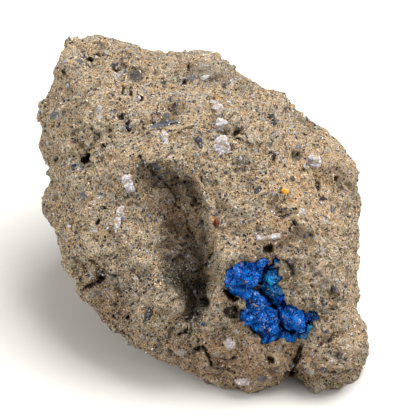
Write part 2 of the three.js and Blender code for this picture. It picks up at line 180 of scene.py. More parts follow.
def placed_piece(data: bpy.types.Mesh, name: str, material: bpy.types.Material,
                 nodes: Sequence[str]) -> None:
    """Makes a mesh in metres one piece, which rides on the specimen's body.

    Args:
        data: The piece's mesh.
        name: The piece's name.
        material: Its finish.
        nodes: The CAD nodes that it stands for.
    """
    data.materials.append(material)
    piece = bpy.data.objects.new(name, data)
    bpy.context.scene.collection.objects.link(piece)
    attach(piece, BODY)
    if nodes:
        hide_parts(*nodes)
    data.calc_loop_triangles()
    LOG.info("%s: %d triangles", name, len(data.loop_triangles))


# ------------------------------------------------------------------------------ relief


def smooth_step(x: float) -> float:
    """Eases 0 to 1 into an S curve, and holds it outside that span."""
    x = min(max(x, 0.0), 1.0)
    return x * x * (3 - 2 * x)


@dataclass(frozen=True)
class Swell:
    """Rolling unevenness: one size of noise, in millimetres."""

    wave: float
    height: float
    ridged: bool = False

    def at(self, point: Vector) -> float:
        """The height at a point."""
        value = noise.noise(point / self.wave)
        return self.height * (1 - 2 * abs(value) if self.ridged else value)


@dataclass(frozen=True)
class Lumps:
    """Scattered round bumps, or pores where the height is negative, in millimetres."""

    spacing: float
    share: float
    radius: float
    height: float
    flat: float = 0.0

    def at(self, point: Vector) -> float:
        """The height at a point."""
        distances, centres = noise.voronoi(point / self.spacing)
        chance = noise.cell(centres[0] * LUMP_DRAW) * 0.5 + 0.5
        if chance > self.share:
            return 0.0
        least, more = LUMP_SIZES
        size = self.radius * (least + more * chance / self.share)
        reach = 1 - distances[0] * self.spacing / size
        return self.height * smooth_step(reach / max(1 - self.flat, 0.05))


@dataclass(frozen=True)
class Blocks:
    """Broken blocks that stand higher or lower than each other, in millimetres."""

    spacing: float
    height: float
    blur: float

    def at(self, point: Vector) -> float:
        """The height at a point."""
        finer, reach = BLOCK_BEND
        bent = point / self.spacing + noise.noise_vector(point / self.spacing * finer) * reach
        (first, second, _, _), centres = noise.voronoi(bent)
        level = noise.cell(centres[0] * BLOCK_DRAW)
        return self.height * level * smooth_step((second - first) * self.spacing / self.blur)


def wandered(spots: np.ndarray) -> np.ndarray:
    """Rows of u and v moved a little by noise, so that what is laid on them is ragged."""
    moved = spots[:, :2].copy()
    for wave, reach in WANDER:
        moved += np.array([noise.noise_vector(Vector(spot) / wave)[:2] for spot in spots]) * reach
    return moved


def eased(values: np.ndarray) -> np.ndarray:
    """The S curve of smooth_step over an array."""
    held = values.clip(0, 1)
    return held * held * (3 - 2 * held)


def beside(spots: np.ndarray, line: Line) -> tuple[np.ndarray, np.ndarray, np.ndarray]:
    """Where spots are beside a line on the show face.

    Args:
        spots: Rows of u and v.
        line: The line's corners as (u, v).

    Returns:
        Each spot's distance from the line, whether it is on its right, and how far along it is.
    """
    distance = np.full(len(spots), np.inf)
    right = np.zeros(len(spots), bool)
    travel = np.zeros(len(spots))
    corners = np.array(line)
    for index, (start, end) in enumerate(zip(corners, corners[1:])):
        along = end - start
        share = ((spots - start) @ along / (along @ along)).clip(0, 1)
        away = spots - start - share[:, None] * along
        length = np.hypot(*away.T)
        nearer = length < distance
        distance[nearer] = length[nearer]
        right[nearer] = (along[0] * away[:, 1] < along[1] * away[:, 0])[nearer]
        travel[nearer] = (index + share[nearer]) / (len(corners) - 1)
    return distance, right, travel


@dataclass(frozen=True)
class Scarp:
    """A broken step on the show face: the ground on the right of its line drops.

    Args:
        line: Its rim as (u, v) in millimetres.
        drop: How far the ground drops.
        reach: How far from the rim the ground has risen again.
        wall: How wide the sloping wall under the rim is.
    """

    line: Line
    drop: float
    reach: float
    wall: float = 0.3

    def at(self, spots: np.ndarray) -> np.ndarray:
        """The heights at rows of u and v."""
        distance, right, travel = beside(spots, self.line)
        ends = eased(END_TAPER * travel) * eased(END_TAPER * (1 - travel))
        return -self.drop * ends * right * eased(distance / self.wall) * eased(1 - distance / self.reach)


@dataclass(frozen=True)
class Crack:
    """A groove along a line on the show face, or a ridge where the depth is negative.

    Args:
        line: Its corners as (u, v) in millimetres.
        width: Half its width.
        depth: How deep it is.
    """

    line: Line
    width: float
    depth: float

    def at(self, spots: np.ndarray) -> np.ndarray:
        """The heights at rows of u and v."""
        return -self.depth * eased(1 - beside(spots, self.line)[0] / self.width)


@dataclass(frozen=True)
class Hole:
    """A hole in the show face, or a knob where the depth is negative.

    Args:
        u: Where its middle is across the face, in millimetres.
        v: Where its middle is up the face.
        across: Half its width.
        along: Half its length.
        turn: How far it is turned anticlockwise, in degrees.
        depth: How deep it is.
        wall: The share of its radius that its sloping wall takes.
    """

    u: float
    v: float
    across: float
    along: float
    turn: float
    depth: float
    wall: float = 0.5

    def at(self, spots: np.ndarray) -> np.ndarray:
        """The heights at rows of u and v."""
        turn = math.radians(self.turn)
        axes = np.array([[math.cos(turn), -math.sin(turn)], [math.sin(turn), math.cos(turn)]])
        away = (spots - (self.u, self.v)) @ axes / (self.across, self.along)
        return -self.depth * eased((1 - np.hypot(*away.T)) / self.wall)


# ------------------------------------------------------------------------------ materials


class Blend(Enum):
    """How one colour is laid over another."""

    PLAIN = "MIX"
    DARKEN = "MULTIPLY"


@dataclass(frozen=True)
class Clast:
    """A stone grain, a stain, or a patch of painted shade or painted light, placed on the show face in
    millimetres.

    Args:
        u: Where its middle is across the face.
        v: Where its middle is up the face.
        across: Half its width.
        along: Half its length.
        turn: How far it is turned anticlockwise, in degrees.
        colour: Its colour.
        strength: How much of the tuff's own colour it hides.
        soft: The share of its radius over which it fades.
    """

    u: float
    v: float
    across: float
    along: float
    turn: float
    colour: Colour
    strength: float = 0.85
    soft: float = 0.35


class Painter:
    """Builds one material's node tree in terms of sockets, with lengths in millimetres."""

    def __init__(self, name: str) -> None:
        """Starts a material with an empty Principled shader."""
        self.material = bpy.data.materials.new(name)
        self.material.use_nodes = True
        self.tree = self.material.node_tree
        self.tree.nodes.clear()
        output = self.node("ShaderNodeOutputMaterial")
        self.shader = self.node("ShaderNodeBsdfPrincipled")
        self.tree.links.new(self.shader.outputs["BSDF"], output.inputs["Surface"])
        coordinates = self.node("ShaderNodeTexCoord").outputs["Object"]
        mapping = self.node("ShaderNodeMapping")
        mapping.inputs["Scale"].default_value = (1 / MM,) * 3
        self.join(coordinates, mapping.inputs["Vector"])
        self.point = mapping.outputs["Vector"]

    def node(self, kind: str, **settings: object) -> bpy.types.Node:
        """A new node of a kind, with its settings."""
        made = self.tree.nodes.new(kind)
        for key, value in settings.items():
            setattr(made, key, value)
        return made

    def join(self, value: object, socket: bpy.types.NodeSocket) -> None:
        """Links a socket to an input, or sets the input where the value is plain."""
        if isinstance(value, bpy.types.NodeSocket):
            self.tree.links.new(value, socket)
        else:
            socket.default_value = value

    def noise(self, wave: float, detail: float = 2, rough: float = 0.5,
              bend: float = 0) -> bpy.types.NodeSocket:
        """Noise of a wave length, from 0 to 1, with its octaves, their strength and its bend."""
        made = self.node("ShaderNodeTexNoise")
        self.join(self.point, made.inputs["Vector"])
        made.inputs["Scale"].default_value = 1 / wave
        made.inputs["Detail"].default_value = detail
        made.inputs["Roughness"].default_value = rough
        made.inputs["Distortion"].default_value = bend
        return made.outputs["Factor" if "Factor" in made.outputs else "Fac"]

    def cells(self, spacing: float, point: object) -> bpy.types.NodeSocket:
        """The distance from the nearest of scattered points of a spacing."""
        made = self.node("ShaderNodeTexVoronoi", feature="F1")
        self.join(point, made.inputs["Vector"])
        made.inputs["Scale"].default_value = 1 / spacing
        return made.outputs["Distance"]

    def ramp(self, factor: object, *stops: tuple[float, Colour]) -> bpy.types.NodeSocket:
        """A colour ramp over a factor."""
        made = self.node("ShaderNodeValToRGB")
        elements = made.color_ramp.elements
        while len(elements) < len(stops):
            elements.new(0.5)
        for element, (position, colour) in zip(elements, stops):
            element.position = position
            element.color = colour
        self.join(factor, made.inputs["Fac"])
        return made.outputs["Color"]

    def span(self, value: object, low: float, high: float, to_low: float = 0,
             to_high: float = 1) -> bpy.types.NodeSocket:
        """A value eased from one span to another."""
        made = self.node("ShaderNodeMapRange", interpolation_type="SMOOTHSTEP")
        for socket, entry in zip(made.inputs, (value, low, high, to_low, to_high)):
            self.join(entry, socket)
        return made.outputs["Result"]

    def off_middle(self, wave: float, detail: float, rough: float, bend: float) -> bpy.types.NodeSocket:
        """How far noise is from its middle value: 0 along thin winding lines."""
        offset = self.math("SUBTRACT", self.noise(wave, detail, rough, bend), 0.5)
        return self.math("ABSOLUTE", offset, 0)

    def times(self, first: object, second: object) -> bpy.types.NodeSocket:
        """The product of two values."""
        return self.math("MULTIPLY", first, second)

    def math(self, operation: str, first: object, second: object) -> bpy.types.NodeSocket:
        """A Math node's result."""
        made = self.node("ShaderNodeMath", operation=operation)
        self.join(first, made.inputs[0])
        self.join(second, made.inputs[1])
        return made.outputs[0]

    def mix(self, factor: object, under: object, over: object,
            blend: Blend = Blend.PLAIN) -> bpy.types.NodeSocket:
        """One colour laid over another by a factor."""
        made = self.node("ShaderNodeMix", data_type="RGBA", blend_type=blend.value)
        self.join(factor, made.inputs[0])
        self.join(under, made.inputs[6])
        self.join(over, made.inputs[7])
        return made.outputs[2]

    def bent(self, wave: float, reach: float) -> bpy.types.NodeSocket:
        """The coordinates pushed about by noise, which makes round things ragged."""
        push = self.node("ShaderNodeTexNoise")
        self.join(self.point, push.inputs["Vector"])
        push.inputs["Scale"].default_value = 1 / wave
        push.inputs["Detail"].default_value = 2
        moved = self.node("ShaderNodeVectorMath", operation="MULTIPLY_ADD")
        self.join(push.outputs["Color"], moved.inputs[0])
        moved.inputs[1].default_value = (2 * reach,) * 3
        self.join(self.point, moved.inputs[2])
        back = self.node("ShaderNodeVectorMath", operation="SUBTRACT")
        self.join(moved.outputs["Vector"], back.inputs[0])
        back.inputs[1].default_value = (reach,) * 3
        return back.outputs["Vector"]

    def within(self, centre: Vector, half: tuple[float, float, float], turn: float, soft: float,
               point: object) -> bpy.types.NodeSocket:
        """1 inside an ellipsoid that lies in the show face's plane, and 0 outside it.

        Args:
            centre: Its middle, in millimetres.
            half: Half its size across, along and out of the face.
            turn: How far it is turned in the face's plane, in degrees.
            soft: The share of its radius over which it fades.
            point: The coordinates to read.

        Returns:
            The share as a socket.
        """
        made = self.node("ShaderNodeMapping", vector_type="TEXTURE")
        self.join(point, made.inputs["Vector"])
        made.inputs["Location"].default_value = centre
        made.inputs["Rotation"].default_value = FACE.turned(turn).to_euler()
        made.inputs["Scale"].default_value = half
        away = self.node("ShaderNodeVectorMath", operation="LENGTH")
        self.join(made.outputs["Vector"], away.inputs[0])
        return self.span(away.outputs["Value"], 1 - soft, 1, 1, 0)

    def laid(self, colour: object, clast: Clast, centre: Vector, depth: float,
             point: object) -> bpy.types.NodeSocket:
        """A clast laid over a colour.

        Args:
            colour: The colour under it.
            clast: Its size, turn and colour.
            centre: Its middle, in millimetres.
            depth: Half its size out of the face.
            point: The coordinates to read.

        Returns:
            The colour with the clast in it.
        """
        half = (clast.across, clast.along, depth)
        inside = self.within(centre, half, clast.turn, clast.soft, point)
        return self.mix(self.times(inside, clast.strength), colour, clast.colour)

    def attribute(self, name: str) -> bpy.types.NodeSocket:
        """A mesh attribute as a number."""
        return self.node("ShaderNodeAttribute", attribute_name=name).outputs["Fac"]

    def bump(self, height: object, distance: float, under: object = None) -> bpy.types.NodeSocket:
        """A bump of a depth in millimetres, over another bump if one is given."""
        made = self.node("ShaderNodeBump")
        self.join(height, made.inputs["Height"])
        made.inputs["Distance"].default_value = distance * MM
        if under is not None:
            self.join(under, made.inputs["Normal"])
        return made.outputs["Normal"]

    def finish(self, colour: object, roughness: object, normal: object = None,
               **values: object) -> bpy.types.Material:
        """Sets the shader's inputs and gives the material.

        Args:
            colour: The base colour, plain or a socket.
            roughness: The roughness, plain or a socket.
            normal: The bumped normal.
            **values: Other inputs by name, with _ for a space.

        Returns:
            The material.
        """
        self.join(colour, self.shader.inputs["Base Color"])
        self.join(roughness, self.shader.inputs["Roughness"])
        if normal is not None:
            self.join(normal, self.shader.inputs["Normal"])
        for key, value in values.items():
            self.join(value, self.shader.inputs[key.replace("_", " ")])
        return self.material


@dataclass(frozen=True)
class Specks:
    """Ragged specks of one colour in patches of the tuff, in millimetres."""

    spacing: float
    radius: float
    colour: Colour
    patch: float
    share: float
    strength: float = 0.85


@dataclass(frozen=True)
class Worms:
    """Thin winding lines of one colour in patches of the tuff, in millimetres."""

    wave: float
    width: float
    colour: Colour
    strength: float


CHALK = srgb(232, 228, 226)
SMOKE = srgb(126, 131, 142)
SLATE = srgb(82, 82, 88)
SOOT = srgb(34, 29, 26)
# blackish green, laid with painted shade in the hollow's slot and in a hole near the foot
GREEN_BLACK_SHADE = srgb(50, 54, 50)

# Broad patches laid on the tuff's colour: the ash's own stains and tones, and painted shade and painted
# light where noted.
STAINS_AND_PAINTED_SHADING = (
    # a darker, browner band along the foot: browner ash, with painted shade of the underside in it
    Clast(4, 2.6, 13, 4.5, 0, srgb(206, 156, 110), 0.5, 0.8),
    # the hollow floor's brown-grey stain, with painted shade of the recess in it
    Clast(-3.5, 18.6, 2.5, 2.8, 35, srgb(158, 118, 92), 0.36, 0.5),
    Clast(-2.5, 15, 2.8, 3.2, 0, srgb(152, 118, 94), 0.42, 0.5),
    # painted light: these two lift the hollow floor along its right wall
    Clast(-1.5, 20.1, 1.8, 1.6, 0, srgb(255, 236, 208), 0.35, 0.8),
    Clast(-0.8, 14.2, 1, 1.4, 0, srgb(255, 236, 208), 0.35, 0.8),
    # the slot's dark stain, with painted shade of the deep slot in it
    Clast(-2.2, 11.8, 1.9, 2.9, 0, srgb(78, 76, 68), 0.6, 0.5),
    Clast(-3.2, 11.4, 1.3, 2.8, 5, srgb(84, 80, 70), 0.6, 0.6),
    # lighter patches on three faces, then darker patches along the top edge and above and right of the nest
    Clast(-10.5, 25.5, 3.4, 2.2, 0, srgb(255, 232, 196), 0.4, 0.8),
    Clast(-9.4, 14, 3.2, 2, -20, srgb(255, 232, 194), 0.45, 0.8),
    Clast(-5.7, 10.4, 1.4, 2.6, 0, srgb(255, 230, 194), 0.35, 0.8),
    Clast(0.4, 31.9, 3.6, 1.8, -8, srgb(122, 112, 98), 0.7, 0.8),
    Clast(7.2, 15.6, 2.6, 3.2, 0, srgb(176, 136, 100), 0.42, 0.8),
    # the slot's blackish-green bottom, with painted shade of the deep slot in it
    Clast(-0.8, 8.1, 1.3, 2.4, 8, GREEN_BLACK_SHADE, 0.88, 0.6),
    Clast(-0.9, 10.4, 1.2, 1.5, 0, GREEN_BLACK_SHADE, 0.7, 0.6),
    # painted shade in the shallow hole left of the nest
    Clast(2.75, 8.05, 0.95, 0.85, 0, srgb(84, 82, 66), 0.5, 0.4),
    # painted shade: near-black in the deep hole among the nest's crystals
    Clast(5.2, 10.2, 1, 1, 0, srgb(6, 14, 40), 0.95, 0.2),
    # painted shade in the small hole near the foot
    Clast(-0.6, 4.4, 0.8, 0.5, 20, GREEN_BLACK_SHADE, 0.6, 0.6),
    # the lower-left facet, which faces down and away from the light: painted shade, with browner ash
    Clast(-9.6, 8.8, 4.6, 3.2, -48, srgb(150, 112, 76), 0.5, 0.5),
    Clast(-9.1, 11.5, 0.9, 0.55, -10, SLATE, 0.55, 0.5),
    Clast(-10.4, 9.8, 0.7, 0.45, 0, SLATE, 0.6, 0.5),
    Clast(-3.4, 27.2, 1.1, 0.6, 0, srgb(160, 124, 78), 0.6, 0.6),
    Clast(1.4, 29.3, 0.6, 0.4, 0, srgb(236, 178, 110), 0.7, 0.7),
    Clast(1.3, 16.8, 0.5, 0.6, 0, srgb(150, 66, 8), 0.97, 0.5),
    Clast(1.1, 17.4, 0.25, 0.25, 0, srgb(214, 126, 40), 0.9, 0.6),
    Clast(8.6, 19.1, 0.26, 0.24, 0, srgb(222, 142, 40), 0.95, 0.5),
    Clast(10.6, 20, 5.5, 9, 0, srgb(246, 196, 140), 0.36, 0.9),
    Clast(-5.4, 24.8, 0.25, 0.25, 0, srgb(168, 92, 34), 0.8, 0.6),
)
CLASTS = (
    Clast(-6.7, 31.6, 1.04, 0.98, 20, SLATE, 0.8, 0.5),
    Clast(-15, 27.7, 0.52, 0.52, 0, SMOKE),
    Clast(-12.5, 33.1, 0.59, 0.39, -35, SMOKE, 0.7),
    Clast(-10.3, 28.1, 0.42, 0.55, 0, CHALK, 0.9),
    Clast(-8.7, 31.7, 0.45, 0.39, 0, CHALK, 0.9),
    Clast(-7.9, 32, 0.39, 0.39, 0, CHALK, 0.85),
    Clast(-10.3, 27.4, 0.33, 0.29, 0, CHALK, 0.9),
    Clast(-15.8, 24.9, 0.29, 0.26, 0, CHALK, 0.9),
    Clast(-4, 31, 0.34, 0.55, 20, SOOT, 0.9),
    Clast(-1.2, 31.4, 0.65, 0.45, 0, SMOKE, 0.85),
    Clast(0.2, 31.4, 0.55, 0.29, 25, CHALK, 0.95),
    Clast(-2.8, 28.1, 0.36, 0.78, 10, SLATE, 0.65),
    Clast(-3.6, 27.5, 0.36, 0.34, 0, SMOKE, 0.95),
    Clast(-3.9, 26.6, 1.82, 0.36, 12, SMOKE, 0.95),
    Clast(1.1, 28.9, 0.52, 0.26, -8, CHALK, 0.9),
    Clast(2.9, 31, 0.23, 0.65, 5, CHALK, 0.8),
    Clast(3.9, 23, 0.85, 0.72, 0, srgb(124, 124, 112), 0.75),
    Clast(3.7, 23.2, 0.26, 0.26, 0, CHALK, 0.9, 0.5),
    Clast(5.4, 20.1, 0.36, 0.62, -40, SLATE, 0.95),
    Clast(6.6, 24.6, 0.42, 0.39, 0, srgb(112, 112, 98), 0.8),
    Clast(9.5, 24.4, 0.42, 0.29, 0, SMOKE, 0.9),
    Clast(10.2, 25.7, 0.47, 0.29, -30, SOOT, 0.85),
    Clast(8.9, 21.2, 0.39, 0.36, 0, SLATE, 0.9),
    Clast(12, 19.2, 0.68, 0.26, 0, SLATE, 0.95),
    Clast(9.8, 18, 0.39, 0.45, 0, CHALK, 0.85),
    Clast(12.2, 17.1, 0.39, 0.42, 0, CHALK, 0.9),
    Clast(13, 18.1, 0.33, 0.55, 0, SMOKE, 0.9),
    Clast(11.8, 14.2, 0.33, 0.52, 20, CHALK, 0.9),
    Clast(-4.7, 22.4, 0.75, 0.42, -30, SMOKE, 0.95),
    Clast(-12, 19.5, 0.39, 0.55, 0, SMOKE, 0.8),
    Clast(-10.9, 16.2, 0.55, 0.49, 0, CHALK, 0.65, 0.6),
    Clast(-10.3, 19.4, 0.45, 0.23, 0, CHALK, 0.8),
    Clast(-11.3, 11.6, 0.39, 0.59, 0, CHALK, 0.7, 0.6),
    Clast(-2.2, 3.9, 0.55, 0.39, 0, CHALK, 0.85),
    Clast(5.8, 1.3, 0.65, 0.39, 0, SMOKE, 0.7),
    Clast(6.9, 2.2, 0.78, 0.59, 0, SLATE, 0.65, 0.5),
    Clast(13.5, 3.6, 0.78, 0.78, 0, srgb(150, 140, 130), 0.7, 0.5),
    Clast(10.8, 2, 0.31, 0.36, 0, CHALK, 0.85),
    Clast(3.4, 6.1, 0.26, 0.26, 0, CHALK, 0.95),
    Clast(9.3, 23.5, 0.7, 0.6, 0, srgb(150, 146, 122), 0.6),
)


@dataclass(frozen=True)
class TuffFinish:
    """Tan volcanic tuff: cream to brown ash with dark, white and grey specks."""

    warm: Colour = srgb(246, 210, 164)
    cool: Colour = srgb(222, 210, 186)
    # multiplied over the ash: speckled and blotchy tone whose dark end is painted shade between the grains
    grain_tone_and_shade: tuple[tuple[float, Colour], ...] = (
        (0.39, srgb(66, 60, 54)), (0.455, srgb(190, 188, 186)), (0.54, srgb(255, 255, 255)),
    )
    # painted shade: the near-black laid in pits, cracks and holes
    pit_shade: Colour = srgb(30, 24, 19)
    # the ash's cream, which is also laid on raised places as painted highlight
    cream_and_crest_light: Colour = srgb(248, 232, 206)
    rust: Colour = srgb(226, 164, 102)
    grain_share: float = 0.6
    blotch_share: float = 0.28
    broad_share: float = 0.12
    rust_span: tuple[float, float] = (0.05, 0.42)
    # how far raised places are lightened as painted highlight, and how far pits are darkened as painted
    # shade
    crest_light_share: float = 0.22
    pit_shade_share: float = 0.88
    patch_edge: float = 0.08
    raggedness: float = 0.16
    specks: tuple[Specks, ...] = (
        Specks(1.5, 0.4, srgb(138, 142, 152), 3.4, 0.52, 0.5),
        Specks(0.9, 0.2, srgb(214, 216, 228), 2.6, 0.48, 0.85),
        Specks(0.7, 0.21, srgb(72, 78, 92), 1.8, 0.46, 0.85),
        Specks(0.5, 0.15, srgb(36, 38, 46), 2.0, 0.42, 0.95),
        Specks(0.34, 0.1, srgb(52, 44, 38), 1.2, 0.36, 0.95),
        Specks(0.4, 0.1, srgb(250, 246, 240), 1.6, 0.42, 0.9),
    )
    worms: tuple[Worms, ...] = (Worms(0.4, 0.022, srgb(112, 94, 74), 0.7), Worms(0.3, 0.05, cream_and_crest_light, 0.4))

    def material(self, ground: Callable[[float, float], Vector]) -> bpy.types.Material:
        """Builds the finish.

        Args:
            ground: Gives the point of the surface that is seen at u and v on the show face.

        Returns:
            The material.
        """
        paint = Painter("tuff")
        ragged = paint.bent(0.45, self.raggedness)
        colour = self.ash(paint)
        for colour_patch in STAINS_AND_PAINTED_SHADING:
            colour = self.laid(paint, colour, colour_patch, ground, ragged)
        for worms in self.worms:
            colour = paint.mix(self.winding(paint, worms), colour, worms.colour)
        for specks in self.specks:
            colour = paint.mix(self.scattered(paint, specks, ragged), colour, specks.colour)
        for clast in CLASTS:
            colour = self.laid(paint, colour, clast, ground, ragged)
        # painted highlight: raised places lightened towards cream by how high they stand
        painted_crest_light = paint.span(paint.attribute("painted_crest_light"), 0.1, 1, 0, self.crest_light_share)
        colour = paint.mix(painted_crest_light, colour, self.cream_and_crest_light)
        # painted shade: pits, cracks and holes darkened by how deep each point lies in them
        pit_shade = paint.span(paint.attribute("painted_pit_shade"), 0.1, 1, 0, self.pit_shade_share)
        colour = paint.mix(pit_shade, colour, self.pit_shade)
        normal = paint.bump(paint.noise(0.26, 3, 0.75), 0.3)
        normal = paint.bump(paint.noise(0.13, 2, 0.7), 0.2, normal)
        return paint.finish(colour, 0.95, normal, Specular_IOR_Level=0.12)

    def ash(self, paint: Painter) -> bpy.types.NodeSocket:
        """The ash itself: warm and cool patches, dark between its grains as painted shade, with rusty
        places.
        """
        grain = paint.times(paint.noise(0.15, 3, 0.75, 0.3), self.grain_share)
        blotch = paint.times(paint.noise(0.36, 3, 0.7), self.blotch_share)
        broad = paint.times(paint.noise(4.0, 3, 0.6), self.broad_share)
        level = paint.math("ADD", grain, paint.math("ADD", blotch, broad))
        warmth = paint.span(paint.noise(0.9, 4, 0.7), 0.36, 0.58)
        colour = paint.mix(warmth, self.cool, self.warm)
        # partly painted shade: the fine noise darkens the ash between its grains, over its speckled tone
        colour = paint.mix(1, colour, paint.ramp(level, *self.grain_tone_and_shade), Blend.DARKEN)
        rusty = paint.times(paint.span(paint.noise(1.6, 4, 0.6), 0.52, 0.66),
                            paint.span(paint.noise(0.4, 3, 0.6), 0.45, 0.6, *self.rust_span))
        return paint.mix(rusty, colour, self.rust)

    def winding(self, paint: Painter, worms: Worms) -> bpy.types.NodeSocket:
        """Where a kind of winding line is, in patches twice its wave long."""
        away = paint.off_middle(worms.wave, 2, 0.6, 0.8)
        return paint.times(paint.span(away, worms.width / 4, worms.width, worms.strength, 0),
                           paint.span(paint.noise(worms.wave * 2, 2), 0.42, 0.58))

    def scattered(self, paint: Painter, specks: Specks, ragged: object) -> bpy.types.NodeSocket:
        """Where a kind of speck is, in its patches."""
        radius = specks.radius / specks.spacing
        spot = paint.span(paint.cells(specks.spacing, ragged), radius * 0.6, radius, specks.strength, 0)
        patch = paint.span(paint.noise(specks.patch, 2), specks.share, specks.share + self.patch_edge)
        return paint.times(spot, patch)

    def laid(self, paint: Painter, colour: object, clast: Clast,
             ground: Callable[[float, float], Vector], ragged: object) -> bpy.types.NodeSocket:
        """A clast, stain or patch of painted shade or painted light laid on the surface at its place, twice
        as deep as it is wide.
        """
        depth = 2 * max(clast.across, clast.along)
        return paint.laid(colour, clast, ground(clast.u, clast.v), depth, ragged)


@dataclass(frozen=True)
class HauyneFinish:
    """Vivid blue etched hauyne with pale curved streaks and dark etch lines.

    A streak's numbers are its wave, width, patch size and strength. A fleck's are its spacing, the
    share of that spacing it fills, the share of ground without it, and its strength.
    """

    name: str = "hauyne"
    deep: Colour = srgb(0, 20, 92)
    body: Colour = srgb(0, 88, 190)
    bright: Colour = srgb(0, 140, 224)
    streak: Colour = srgb(168, 182, 200)
    glow: Colour = srgb(16, 134, 222)
    # painted shade for the clefts and creases between the crystals
    cleft_shade: Colour = srgb(0, 6, 52)
    # colour patches: some are painted highlights, such as glints and sheen on facets
    tints_and_painted_glints: tuple[Clast, ...] = ()
    streaks: tuple[tuple[float, ...], ...] = ((0.9, 0.022, 0.6, 0.75), (0.5, 0.028, 0.45, 0.65))
    flecks: tuple[tuple[float, ...], ...] = (
        (0.2, 0.32, 0.4, 0.8), (0.23, 0.28, 0.45, 0.75), (0.34, 0.22, 0.55, 0.55),
    )

    def material(self) -> bpy.types.Material:
        """Builds the finish."""
        paint = Painter(self.name)
        cloud = paint.math("ADD", paint.times(paint.noise(0.5, 4, 0.75, 0.8), 0.6),
                           paint.times(paint.noise(0.13, 2, 0.8), 0.4))
        colour = paint.ramp(cloud, (0.4, self.deep), (0.5, self.body), (0.6, self.bright))
        colour = paint.mix(paint.times(self.lines(paint, 0.36, 0.05, 1.0), 0.75), colour, self.deep)
        for wave, width, patch_wave, strength in self.streaks:
            patch = paint.span(paint.noise(patch_wave, 3, 0.7), 0.5, 0.58)
            streak = paint.times(self.lines(paint, wave, width, 1.6), patch)
            colour = paint.mix(paint.times(streak, strength), colour, self.streak)
        bent = paint.bent(0.2, 0.07)
        for (spacing, edge, share, strength), tone in zip(self.flecks, (self.deep, self.glow, self.streak)):
            fleck = paint.span(paint.cells(spacing, bent), edge / 2, edge, strength, 0)
            patch = paint.span(paint.noise(spacing * 2, 2), share, share + 0.1)
            colour = paint.mix(paint.times(fleck, patch), colour, tone)
        ragged = paint.bent(0.3, 0.22)
        for tint in self.tints_and_painted_glints:
            colour = paint.laid(colour, tint, FACE.place(tint.u, tint.v), TINT_DEPTH, ragged)
        # painted shade: the crystal is darkened near its neighbours and in its creases, by the cleft layer
        colour = paint.mix(paint.span(paint.attribute("cleft"), 0.1, 0.9, 0, 0.9), colour, self.cleft_shade)
        normal = paint.bump(paint.noise(0.22, 3, 0.7, 0.8), 0.17)
        normal = paint.bump(paint.noise(0.1, 2, 0.7), 0.1, normal)
        return paint.finish(colour, 0.25, normal, Specular_IOR_Level=0.08)

    def lines(self, paint: Painter, wave: float, width: float, bend: float) -> bpy.types.NodeSocket:
        """Thin winding lines: 1 on a line and 0 off it."""
        return paint.span(paint.off_middle(wave, 1, 0.5, bend), width * 0.35, width, 1, 0)


@dataclass(frozen=True)
class GrainFinish:
    """A mineral grain: two shades over a fine noise, a crust of ash in patches, and its gloss."""

    name: str
    low: Colour
    high: Colour
    roughness: float
    wave: float = 0.3
    crust: Colour = srgb(176, 156, 130)
    crust_share: float = 0.0

    def material(self) -> bpy.types.Material:
        """Builds the finish."""
        paint = Painter(self.name)
        colour = paint.ramp(paint.noise(self.wave, 4, 0.7), (0.38, self.low), (0.62, self.high))
        if self.crust_share:
            patch = paint.noise(self.wave * 1.6, 4, 0.7, 0.5)
            edge = 0.5 + 0.2 * (0.5 - self.crust_share)
            colour = paint.mix(paint.span(patch, edge - 0.04, edge + 0.04), colour, self.crust)
        normal = paint.bump(paint.noise(self.wave / 2, 3, 0.7), 0.06)
        return paint.finish(colour, self.roughness, normal, Specular_IOR_Level=0.2)


# ------------------------------------------------------------------------------ the stone


